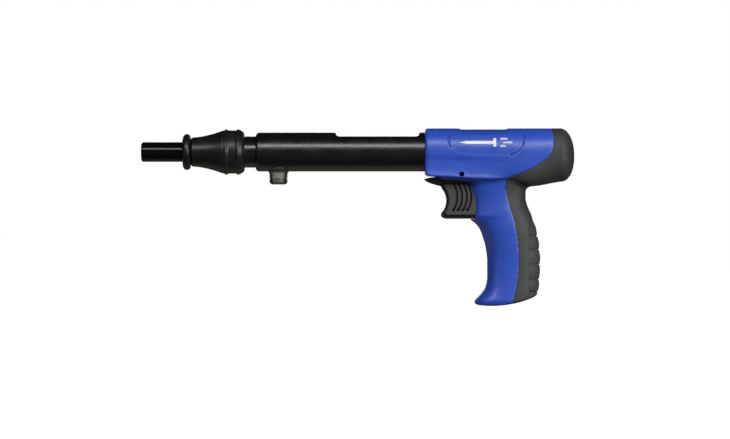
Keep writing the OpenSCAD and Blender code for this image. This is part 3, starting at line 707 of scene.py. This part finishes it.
def trigger_field(x, y, z):
    """The trigger's cheeks with their curved finger grooves, its top wing and its toe."""
    body = rounded_plate(outline_distance(x, z, CHEEK), y, TRIGGER_HALF, 3.1)
    top = rounded_plate(outline_distance(x, z, WING), y, TRIGGER_HALF - 0.9, 0.45)
    bottom = rounded_plate(outline_distance(x, z, TOE), y, TRIGGER_HALF - 0.8, 0.7)
    whole = smooth_min(smooth_min(body, top, 0.5), bottom, 0.5)
    deep = (0.6 * (np.abs(y) - TRIGGER_HALF)) ** 2
    lines = np.minimum.reduce([path_distance(x, z, g) for g in GROOVES])
    ends = np.minimum.reduce([np.hypot(x - g[-1][0], z - g[-1][1]) for g in GROOVES])
    cut, dots = np.sqrt(lines**2 + deep) - GROOVE_R, np.sqrt(ends**2 + deep) - GROOVE_END_R
    return smooth_max(whole, -np.minimum(cut, dots), 0.15)


def make_trigger():
    """The trigger, with the slides on its top and the room for the sear, its pin and the springs."""
    low = np.array([TRIGGER_LO[0] - 0.5, -TRIGGER_HALF, TRIGGER_FLOOR])
    high = np.array([TRIGGER_HI[0], TRIGGER_HALF, TRIGGER_TOP])
    piece = surface_net("trigger_skin", trigger_field, low, high, 0.36)

    stroke, pin_room, slide = 6.0, 2.3, 3.8
    pin_x = GUIDE_PIN[0]
    stop = pin_x - pin_room - stroke
    for x0, x1 in ((stop - slide, stop), (pin_x + pin_room, SEAR_PIN[0] + 5)):
        boolean(piece, box_tool((x0, -5, -23), (x1, 5, -16.4)), "UNION")

    sear_half, sear_drop = 2.15, 4.4
    sear_spring, trigger_spring = cad_box("sear_spring"), cad_box("trigger_spring")
    sear_x, sear_low = side_middle(*sear_spring)[0], sear_spring[0][2] - 0.05
    spring_x, spring_z = trigger_spring[0][0] - 0.05, side_middle(*trigger_spring)[1]
    for tool in (
        box_tool((SEAR_PIN[0] - 3.7, -sear_half, SEAR_PIN[1] - sear_drop), (SEAR_PIN[0] + 60, sear_half, 0)),
        rod_tool("y", -FAR, FAR, SEAR_PIN, 1.51, 40),
        box_tool((sear_x - 2.6, -2.6, sear_low), (sear_x + 2.6, 2.6, -23)),
        rod_tool("x", spring_x, FAR * 9, (0, spring_z), 5, 48),
    ):
        boolean(piece, tool, "DIFFERENCE")
    shade(piece, 40)
    paint(piece, "trigger_plastic")
    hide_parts("trigger")
    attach(piece, "trigger_group")


# ---------------------------------------------------------------- the turned steel pieces


def mount_r(name):
    """The radius of one of the record's mounts."""
    return next(m["dims"]["r_mm"] for m in frame["record"]["mounts"] if m["name"] == name)


GUIDE_R, GUIDE_BORE, CHAMBER_R = mount_r("muzzle_spigot"), mount_r("fastener_bore"), mount_r("chamber")
(GUIDE_X0, _, _), (GUIDE_X1, _, FLANGE_R) = cad_box("fastener_guide")
(CONE_X0, _, _), (SKIRT_X1, _, _) = cad_box("nose_cone")
(CONE_X1, _, _), (COLLAR_X1, _, COLLAR_R) = cad_box("locking_collar")
(BARREL_X0, _, _), (BARREL_X1, _, BARREL_R) = cad_box("barrel")
SKIRT_R = 14.5
BARREL_SEAT_R = BARREL_R + 0.05
TUBE_X0, TUBE_X1 = TUBE_LO[0], TUBE_HI[0]
RETAINER_X = side_middle(*cad_box("retainer_cap"))[0]
ON_AXIS = 0.02  # a radius that closes a solid end


def rounded_outline(corners):
    """A closed outline from (x, r, rounding) corners."""
    p = np.array([c[:2] for c in corners], float)
    out = []
    for i, (_, _, size) in enumerate(corners):
        to_a, to_b = p[i - 1] - p[i], p[(i + 1) % len(p)] - p[i]
        length_a, length_b = np.linalg.norm(to_a), np.linalg.norm(to_b)
        to_a, to_b = to_a / length_a, to_b / length_b
        if not size:
            out.append(p[i])
            continue
        half = math.acos(np.clip(to_a @ to_b, -1, 1)) / 2
        reach = min(size / math.tan(half), 0.45 * length_a, 0.45 * length_b)
        centre = p[i] + (to_a + to_b) / np.linalg.norm(to_a + to_b) * reach / math.cos(half)
        start, end = p[i] + to_a * reach - centre, p[i] + to_b * reach - centre
        turn = math.pi - 2 * half
        out.append(centre + start + to_a * min(0.12, 0.04 * length_a))
        for t in np.linspace(0, 1, 6):
            swept = start * math.sin((1 - t) * turn) + end * math.sin(t * turn)
            out.append(centre + swept / math.sin(turn))
        out.append(centre + end + to_b * min(0.12, 0.04 * length_b))
    return out


def lathe(name, corners, sides=144):
    """A body turned about the bore from (x, r, rounding) corners, or (x, r) points of a curve."""
    outline = np.array(rounded_outline([(*c, 0)[:3] for c in corners]))
    x, r = [], []
    for a, b in zip(outline, np.roll(outline, -1, axis=0)):
        parts = max(1, math.ceil(np.linalg.norm(b - a) / 2.5))
        for t in np.arange(parts) / parts:
            x.append(a[0] + (b[0] - a[0]) * t)
            r.append(a[1] + (b[1] - a[1]) * t)
    angle = np.arange(sides) * 2 * math.pi / sides
    x, r = np.array(x)[:, None], np.array(r)[:, None]
    v = np.stack([x + 0 * angle, r * np.cos(angle), r * np.sin(angle)], 2).reshape(-1, 3)
    i, j = np.meshgrid(np.arange(len(x)), np.arange(sides), indexing="ij")
    i_next, j_next = (i + 1) % len(x), (j + 1) % sides
    faces = np.stack([i * sides + j, i_next * sides + j, i_next * sides + j_next, i * sides + j_next], 2)
    return outward(mesh_from(name, v, faces.reshape(-1, 4)))


def soften_port(piece, outline, r, drop):
    """Rolls the outer edge of an opening in a tube of radius r slightly in."""
    p = read_points(piece)
    closed = list(outline) + [outline[0]]
    edge = path_distance(p[:, 0], p[:, 1], closed) < 0.05
    edge &= (p[:, 2] > 0) & (np.hypot(p[:, 1], p[:, 2]) > r - 0.1)
    p[edge, 1:] *= 1 - drop / r
    write_points(piece, p)


def finish_piece(piece, node, body, material, degrees=32):
    shade(piece, degrees)
    paint(piece, material)
    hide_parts(node)
    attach(piece, body)


def make_guide():
    """The fastener guide, a little slimmer inside the cone, with a flange at its rear."""
    slim, flange = GUIDE_R - 0.25, 4
    guide = lathe("guide_turned", [
        (GUIDE_X0, GUIDE_BORE, 0.3), (GUIDE_X0, GUIDE_R - 1.1, 0.3), (GUIDE_X0 + 1.1, GUIDE_R, 0.5),
        (CONE_X0 - 0.5, GUIDE_R), (CONE_X0 - 0.5, slim), (GUIDE_X1 - flange, slim),
        (GUIDE_X1 - flange, FLANGE_R), (GUIDE_X1, FLANGE_R), (GUIDE_X1, GUIDE_BORE)])
    finish_piece(guide, "fastener_guide", "guide", "guide_steel")


def make_cone():
    """The nose cone: a bead, a hollow flare and the skirt that goes over the barrel."""
    hole, room, front_wall, barrel_stop = GUIDE_R + 0.1, FLANGE_R + 0.3, CONE_X0 + 8.7, BARREL_X0 - 0.3
    bead_r, bead_minor = 14.4, 3.2
    bead = (CONE_X0 + 3.6, bead_r - bead_minor)
    flare_x0 = bead[0] + bead_minor + 1.4
    flare = [(flare_x0 + (CONE_X1 - flare_x0) * t, 11.7 + 5.2 * t**1.65) for t in np.linspace(0, 1, 25)]
    inside = [
        (CONE_X1, SKIRT_R), (SKIRT_X1, SKIRT_R), (SKIRT_X1, BARREL_SEAT_R), (barrel_stop, BARREL_SEAT_R),
        (barrel_stop, room), (front_wall, room), (front_wall, hole)]
    front = [(CONE_X0, hole), (CONE_X0, GUIDE_R + 1.4, 0.3)]
    cone = lathe("cone_turned", front + arc(bead, bead_minor, 165, -20, 26) + flare + inside)
    finish_piece(cone, "nose_cone", "barrel_group", "cone_steel")


def make_collar():
    """The locking collar, with two ridges and a rounded rear shoulder."""
    ridge, shoulder, waist_r, skirt_seat_r = 1.6, 4.4, COLLAR_R - 0.9, SKIRT_R + 0.05
    collar = lathe("collar_turned", [(CONE_X1, skirt_seat_r), (CONE_X1, 16.9, 0.2)]
        + arc((CONE_X1 + 3.6, COLLAR_R - ridge), ridge, 150, 40, 12)
        + [(CONE_X1 + 6.0, waist_r, 0.3), (CONE_X1 + 11.4, waist_r, 0.3)]
        + arc((CONE_X1 + 13.2, COLLAR_R - ridge), ridge, 140, 60, 12)
        + arc((COLLAR_X1 - shoulder, COLLAR_R - 5.2), shoulder, 60, 0, 12)
        + [(COLLAR_X1, BARREL_SEAT_R), (CONE_X1 + 8.2, BARREL_SEAT_R), (CONE_X1 + 8.2, skirt_seat_r)])
    finish_piece(collar, "locking_collar", "barrel_group", "collar_steel")


def make_barrel():
    """The barrel: piston bore, chamber, detent groove, retainer keyway and extractor slot."""
    bore_r, rim_r, groove_r, groove_half = 8.2, 3.8, 11.3, 0.9
    floor_x, bore_x1, detent_x = BARREL_X1 - 18.1, BARREL_X1 - 24.1, BARREL_X1 - 16
    barrel = lathe("barrel_turned", [
        (BARREL_X0, bore_r, 0.2), (BARREL_X0, BARREL_R, 0.3), (detent_x - groove_half, BARREL_R),
        (detent_x - groove_half, groove_r), (detent_x + groove_half, groove_r),
        (detent_x + groove_half, BARREL_R), (BARREL_X1, BARREL_R, 0.5), (BARREL_X1, rim_r, 0.1),
        (BARREL_X1 - 1.2, rim_r), (BARREL_X1 - 1.2, CHAMBER_R), (floor_x, CHAMBER_R), (floor_x, ON_AXIS),
        (bore_x1, ON_AXIS), (bore_x1, bore_r)])
    key_r, key0, key1 = 2.7, RETAINER_X - 8.8, RETAINER_X + 64.3
    keyway = arc((key1, 0), key_r, -90, 90, 12) + arc((key0, 0), key_r, 90, 270, 12)
    for tool in (
        plate_tool(keyway, -BARREL_R - 1, -10),
        rod_tool("x", BARREL_X1 - 20.1, BARREL_X1 + 1, (7, 0), 1.6, 32),
        box_tool((BARREL_X1 - 1.3, 3.3, -2.6), (BARREL_X1 + 1, 8.6, 2.6)),
    ):
        boolean(barrel, tool, "DIFFERENCE")
    finish_piece(barrel, "barrel", "barrel_group", "barrel_steel")


def make_retainer_cap():
    """The cap, turned about the bore and then stood up, with a register that reaches to its boss."""
    boss_lo = cad_box("retainer_boss")[0][2]
    (_, _, cap_lo), (_, cap_r, _) = cad_box("retainer_cap")
    dome, seat, hole_r = 2.6, boss_lo - 0.3, 2.1
    bottom = [(cap_lo, ON_AXIS)] + arc((cap_lo + dome, cap_r - dome), dome, 180, 90, 10)
    cap = lathe("cap_turned", bottom + [
        (boss_lo - 0.55, cap_r), (seat, cap_r - 0.25), (seat, cap_r - 0.9), (boss_lo - 0.03, cap_r - 0.9),
        (boss_lo - 0.03, hole_r), (cap_lo + 1.5, hole_r), (cap_lo + 1.5, ON_AXIS)], 96)
    stand_up = Matrix(((0, 0, 1, RETAINER_X * MM), (0, 1, 0, 0), (1, 0, 0, 0), (0, 0, 0, 1)))
    cap.data.transform(stand_up)
    finish_piece(outward(cap), "retainer_cap", "retainer", "cap_steel")


def make_tube():
    """The receiver tube, with its loading port and the holes for the pins and the trigger's sear."""
    bore_r, chamfer = 12.6, 1.6
    tube = lathe("tube_turned", [
        (TUBE_X0, bore_r, 0.2), (TUBE_X0, TUBE_R - chamfer, 0.3), (TUBE_X0 + chamfer, TUBE_R, 0.9),
        (TUBE_X1, TUBE_R, 0.3), (TUBE_X1, bore_r)])
    port_x1 = TUBE_X0 + 130.4
    port_x0, half, corner = port_x1 - 66.4, 9.5, 3
    corners = (
        (port_x1 - corner, half - corner), (port_x0 + corner, half - corner),
        (port_x0 + corner, corner - half), (port_x1 - corner, corner - half))
    port = [q for i, c in enumerate(corners) for q in arc(c, corner, 90 * i, 90 * i + 90, 9)]
    for tool in (
        plate_tool(port, 0, TUBE_R + 2),
        plate_tool(arc((RETAINER_X, 0), 2.6, 0, 350, 36), -TUBE_R - 1, -1),
        box_tool((FRONT + 47.45, -2.5, -TUBE_R - 1), (FRONT + 63.45, 2.5, -TUBE_R + 7)),
        rod_tool("y", -FAR, FAR, (TUBE_X1 - 5, 0), 2.05, 40),
    ):
        boolean(tube, tool, "DIFFERENCE")
    soften_port(tube, port, TUBE_R, 0.22)
    finish_piece(tube, "receiver_tube", "housing", "black_steel")


# ---------------------------------------------------------------- materials


# Where a Mix node has its sockets for colours
MIX_FACTOR, MIX_A, MIX_B, MIX_RESULT = 0, 6, 7, 2


class Shader:
    """Small helper for building one material's nodes."""

    def __init__(self, name):
        self.material = bpy.data.materials.new(name)
        self.material.use_nodes = True
        self.tree = self.material.node_tree
        self.bsdf = self.tree.nodes["Principled BSDF"]
        self.coords = self.tree.nodes.new("ShaderNodeTexCoord").outputs["Object"]

    def node(self, kind, **inputs):
        made = self.tree.nodes.new(kind)
        for key, value in inputs.items():
            self.put(made, key, value)
        return made

    def put(self, node, key, value):
        socket = node.inputs[key.replace("_", " ")] if isinstance(key, str) else node.inputs[key]
        if isinstance(value, bpy.types.NodeSocket):
            self.tree.links.new(value, socket)
        else:
            socket.default_value = value

    def axis(self, name):
        """One of the object's own coordinates, in metres."""
        return self.node("ShaderNodeSeparateXYZ", Vector=self.coords).outputs[name]

    def math(self, operation, *values):
        made = self.tree.nodes.new("ShaderNodeMath")
        made.operation = operation
        for i, value in enumerate(values):
            self.put(made, i, value)
        return made.outputs[0]

    def tone(self):
        """The base colour as it is so far."""
        return self.bsdf.inputs["Base Color"].links[0].from_socket

    def stretched(self, scale):
        mapping = self.node("ShaderNodeMapping", Vector=self.coords)
        mapping.inputs["Scale"].default_value = scale
        return mapping.outputs["Vector"]

    def noise(self, size, detail=3.0, rough=0.55, scale=None):
        """Noise whose features are about size millimetres."""
        vector = self.stretched(scale) if scale else self.coords
        made = self.node("ShaderNodeTexNoise", Vector=vector, Scale=1 / (size * MM), Detail=detail)
        self.put(made, "Roughness", rough)
        return made.outputs["Fac"]

    def ramp(self, value, low, high, at=(0.35, 0.65)):
        """From low to high while the value runs over the two limits in at."""
        made = self.node("ShaderNodeMapRange", Value=value)
        made.inputs["From Min"].default_value, made.inputs["From Max"].default_value = at
        made.inputs["To Min"].default_value, made.inputs["To Max"].default_value = low, high
        return made.outputs["Result"]

    def mix(self, factor, a, b):
        made = self.tree.nodes.new("ShaderNodeMix")
        made.data_type = "RGBA"
        for key, value in ((MIX_FACTOR, factor), (MIX_A, a), (MIX_B, b)):
            self.put(made, key, (*value, 1.0) if isinstance(value, tuple) else value)
        return made.outputs[MIX_RESULT]

    def bumps(self, *layers):
        """Bump from (height, depth in millimetres) layers."""
        normal = None
        for height, depth in layers:
            bump = self.node("ShaderNodeBump", Height=height, Distance=depth * MM, Strength=1.0)
            if normal is not None:
                self.put(bump, "Normal", normal)
            normal = bump.outputs["Normal"]
        self.put(self.bsdf, "Normal", normal)

    def set(self, **inputs):
        for key, value in inputs.items():
            if isinstance(value, tuple):
                value = (*value, 1.0)
            self.put(self.bsdf, key, value)


def shade_of(colour, factor):
    return tuple(c * factor for c in colour)


def moulded(name, colour, rough, grain, depth, sheen_spots=0.05, ior=1.5):
    """Moulded plastic or rubber with a fine eroded grain, faint flow marks and handling shine."""
    s = Shader(name)
    s.bsdf.inputs["IOR"].default_value = ior
    cloud = s.noise(38, 4.0, 0.6)
    fine = s.noise(grain, 2.0, 0.6)
    rub = s.noise(9, 5.0, 0.65)
    tone = s.mix(s.ramp(cloud, 0.0, 1.0), shade_of(colour, 0.93), shade_of(colour, 1.07))
    tone = s.mix(s.ramp(rub, 0.0, 0.35, (0.58, 0.74)), tone, shade_of(colour, 1.18))
    s.set(Base_Color=tone, Roughness=s.ramp(rub, rough + sheen_spots, rough - sheen_spots))
    s.bumps((fine, depth), (cloud, depth * 1.6))
    return s


def coated_steel(name, colour, rough, streak=0.0, ior=1.5):
    """Black-finished steel: faint turning marks, fine scratches and slightly uneven gloss."""
    s = Shader(name)
    s.bsdf.inputs["IOR"].default_value = ior
    cloud = s.noise(16, 4.0, 0.6)
    turned = s.noise(1.1, 2.0, 0.5, (1.0, 0.06, 0.06))
    scratch = s.noise(1.1, 6.0, 0.75, (0.16, 1.0, 1.0))
    marks = s.ramp(scratch, 0.0, 1.0, (0.62, 0.72))
    tone = s.mix(s.ramp(cloud, 0.0, 1.0), shade_of(colour, 0.8), shade_of(colour, 1.25))
    tone = s.mix(marks, tone, shade_of(colour, 1.9))
    s.set(Base_Color=tone, Roughness=s.ramp(cloud, rough * 0.92, rough * 1.12))
    s.bumps((turned, 0.0004 + streak), (cloud, 0.0007))
    return s


def trigger_painted_cheeks(name, colour, black, rough):
    """Black moulded trigger plastic, with a painted reflection of the front lamps that turns the flat cheeks
    grey.
    """
    s = moulded(name, colour, rough, 0.5, 0.012)
    # The flat cheeks are painted grey: a painted reflection of the front lamps.
    cheek_reflection_band = ((TRIGGER_HALF - 0.22) * MM, (TRIGGER_HALF - 0.06) * MM)
    flat = s.ramp(s.math("ABSOLUTE", s.axis("Y")), 0.0, 1.0, cheek_reflection_band)
    s.set(Base_Color=s.mix(flat, black, s.tone()))
    return s


def rubber_overmould(name, colour, rough):
    """Soft rubber, with painted light on the ribbed pad of the grip that makes it lighter, in patches."""
    s = moulded(name, colour, rough, 0.4, 0.014, 0.06)
    # Painted light: the ribbed pad behind PAD_START and low on the grip is painted lighter, broken into
    # patches by noise.
    behind = s.ramp(s.axis("X"), 0.0, 1.0, ((PAD_START - 7) * MM, (PAD_START + 1) * MM))
    below = s.ramp(s.axis("Z"), 1.0, 0.0, (-66 * MM, -48 * MM))
    patches = s.ramp(s.noise(3.5, 4.0, 0.6), 0.7, 1.0)
    pad_painted_light = s.mix(patches, shade_of(colour, 1.3), shade_of(colour, 1.7))
    s.set(Base_Color=s.mix(s.math("MULTIPLY", behind, below), s.tone(), pad_painted_light))
    return s


def stud_painted_sides(name, colour, rough):
    """Dark steel with its two flat sides below the weld painted bright: painted light on those sides and
    painted shade on the rest.
    """
    s = coated_steel(name, shade_of(colour, 0.12), rough, 0.001)
    # Painted light and shade: the sides facing along y, below the weld, are painted bright and the rest
    # stays dark.
    sides = s.ramp(s.math("ABSOLUTE", s.axis("Y")), 0.0, 1.0, (4.7 * MM, 6.3 * MM))
    below = s.ramp(s.axis("Z"), 1.0, 0.0, (-17.0 * MM, -15.6 * MM))
    patches = s.ramp(s.noise(2.4, 4.0, 0.6), 0.0, 1.0)
    painted_side_light = s.mix(patches, shade_of(colour, 0.85), shade_of(colour, 1.15))
    s.set(Base_Color=s.mix(s.math("MULTIPLY", sides, below), s.tone(), painted_side_light))
    return s


def bare_steel(name, colour, rough, turned_depth=0.004):
    """Bare steel with fine turning marks and patches of dull oxide."""
    s = Shader(name)
    cloud = s.noise(7, 5.0, 0.62)
    turned = s.noise(0.3, 2.0, 0.5, (1.0, 0.05, 0.05))
    tone = s.mix(s.ramp(cloud, 0.0, 1.0, (0.42, 0.7)), colour, shade_of(colour, 0.62))
    s.set(Base_Color=tone, Metallic=1.0, Roughness=s.ramp(cloud, rough, rough * 1.5))
    s.bumps((turned, turned_depth), (cloud, 0.006))
    return s


def make_materials():
    """Every slot's material, and the finer ones of the turned pieces."""
    # grey is the trigger cheeks' painted reflection of the front lamps; black is the trigger's own colour.
    grey, black = (0.06, 0.06, 0.057), (0.0035, 0.0035, 0.0035)
    made = {
        "blue_plastic": moulded("blue_plastic_moulded", (0.029, 0.088, 0.53), 0.35, 0.55, 0.008, ior=1.6),
        "grey_rubber": rubber_overmould("grey_rubber_soft", (0.038, 0.041, 0.040), 0.6),
        "trigger_plastic": trigger_painted_cheeks("trigger_plastic_grained", grey, black, 0.46),
        "black_steel": coated_steel("black_steel_gloss", (0.0028, 0.0028, 0.0034), 0.28, ior=1.7),
        "guide_steel": coated_steel("guide_steel_gloss", (0.002, 0.002, 0.0025), 0.16, ior=1.4),
        "cone_steel": coated_steel("cone_steel_satin", (0.007, 0.007, 0.008), 0.33, 0.0006),
        "collar_steel": coated_steel("collar_steel_satin", (0.010, 0.010, 0.012), 0.36, 0.0006),
        "barrel_steel": coated_steel("barrel_steel_gloss", (0.0055, 0.0055, 0.006), 0.24, ior=1.7),
        "boss_steel": stud_painted_sides("boss_steel_painted_sides", (0.27, 0.27, 0.25), 0.42),
        "cap_steel": stud_painted_sides("cap_steel_painted_sides", (0.11, 0.11, 0.10), 0.38),
        "dark_steel": coated_steel("dark_steel_satin", (0.012, 0.012, 0.014), 0.36, 0.001),
        "bright_steel": bare_steel("bright_steel_ground", (0.62, 0.62, 0.63), 0.22),
        "grey_steel": bare_steel("grey_steel_worn", (0.33, 0.33, 0.31), 0.38),
        "spring_steel": bare_steel("spring_steel_drawn", (0.5, 0.5, 0.52), 0.3, 0.002),
        "buffer_rubber": moulded("buffer_rubber_black", (0.03, 0.03, 0.03), 0.7, 0.5, 0.01),
        "bumper_urethane": moulded("bumper_urethane_amber", (0.3, 0.12, 0.05), 0.45, 0.8, 0.006),
        "white_print": moulded("white_print_ink", (0.86, 0.87, 0.89), 0.5, 0.3, 0.003),
    }
    return {name: shader.material for name, shader in made.items()}


def dress_cad_nodes():
    """Materials and softened edges on the CAD nodes that show as they are."""
    slots = {s["node"]: s["material_slot"] for s in frame["record"]["subparts"]}
    for name, obj in frame["nodes"].items():
        if obj.hide_render:
            continue
        paint(obj, "boss_steel" if name == "retainer_boss" else slots[name])
        if "spring" in name and name != "spring_seat_ring":
            continue
        weld = obj.modifiers.new("weld", "WELD")
        weld.merge_threshold = 1e-6
        bevel = obj.modifiers.new("edges", "BEVEL")
        bevel.width = (0.25 if name == "housing_screws" else 0.15) * MM
        bevel.segments = 3
        bevel.limit_method = "ANGLE"
        bevel.angle_limit = math.radians(38)
        bevel.harden_normals = True
        bevel.use_clamp_overlap = True


# ---------------------------------------------------------------- stage


def area_light(name, at, target, size, power, colour=(1, 1, 1)):
    light = bpy.data.lights.new(name, "AREA")
    light.shape = "RECTANGLE"
    light.size, light.size_y = size
    light.energy = power
    light.color = colour
    obj = new_object(name, light)
    obj.location = at
    obj.rotation_euler = (Vector(target) - Vector(at)).to_track_quat("-Z", "Y").to_euler()
    return obj


CAMERA_RAY = "Is Camera Ray"
WHITE = (1, 1, 1)


def make_floor(middle, height):
    """A floor that the camera sees white and that reflects as a dark ground with a warm band behind."""
    corners = np.array([(-6, -6, 0), (6, -6, 0), (6, 9, 0), (-6, 9, 0)]) / MM
    floor = mesh_from("floor", corners, [(0, 1, 2, 3)])
    floor.location = (middle, 0, height)
    s = Shader("pale_floor")
    s.set(Base_Color=(0.06, 0.06, 0.06), Roughness=0.9)
    near = s.ramp(s.axis("Y"), 0.0, 1.0, (-0.02, 0.01))
    far = s.ramp(s.axis("Y"), 1.0, 0.0, (0.10, 0.16))
    reflected = s.mix(s.math("MULTIPLY", near, far), (0.008, 0.008, 0.008), (0.24, 0.185, 0.135))
    seen = s.tree.nodes.new("ShaderNodeLightPath").outputs[CAMERA_RAY]
    s.set(Emission_Color=s.mix(seen, reflected, WHITE))
    s.bsdf.inputs["Emission Strength"].default_value = 1.0
    floor.data.materials.append(s.material)


def make_world():
    """A dark room that the camera sees white."""
    world = bpy.data.worlds.new("studio")
    world.use_nodes = True
    tree = world.node_tree
    background = tree.nodes["Background"]
    path = tree.nodes.new("ShaderNodeLightPath")
    pick = tree.nodes.new("ShaderNodeMix")
    pick.data_type = "RGBA"
    pick.inputs[MIX_A].default_value = (0.02, 0.02, 0.021, 1)
    pick.inputs[MIX_B].default_value = (*WHITE, 1)
    tree.links.new(path.outputs[CAMERA_RAY], pick.inputs[MIX_FACTOR])
    tree.links.new(pick.outputs[MIX_RESULT], background.inputs["Color"])
    bpy.context.scene.world = world


def make_camera():
    """A long lens square to the tool's left side."""
    camera = bpy.data.cameras.new("camera")
    camera.lens = 150
    camera.sensor_width = 36
    camera.clip_end = 50
    obj = new_object("camera", camera)
    view_width, centre = 0.584, Vector((0.1788, 0, -0.054))
    obj.location = centre - Vector((0, view_width * camera.lens / camera.sensor_width, 0))
    obj.rotation_euler = (math.pi / 2, 0, 0)
    bpy.context.scene.camera = obj
    bpy.context.scene.view_settings.view_transform = "Standard"


def make_stage():
    """Floor, world, lights and camera."""
    lo, hi = [Vector(c) for c in CAD_BOUNDS]
    middle = ((lo + hi) / 2).x
    make_floor(middle, lo.z - 0.0002)
    make_world()
    target = (middle, 0, 0)
    area_light("strip", (middle, -1.33, 0.98), target, (2.6, 0.38), 20)
    area_light("key_right", (middle + 1.3, -1.5, 0.35), target, (0.8, 0.8), 18)
    area_light("fill_left", (middle - 1.7, -1.1, 0.25), target, (0.8, 0.8), 1.2)
    area_light("back", (middle, 1.7, 0.15), target, (1.6, 0.7), 8)
    make_camera()


MATERIALS = make_materials()
make_stage()
make_housing()
make_trigger()
for make_piece in (make_guide, make_cone, make_collar, make_barrel, make_retainer_cap, make_tube):
    make_piece()
for side_name in ("left", "right"):
    make_mark(side_name)
dress_cad_nodes()
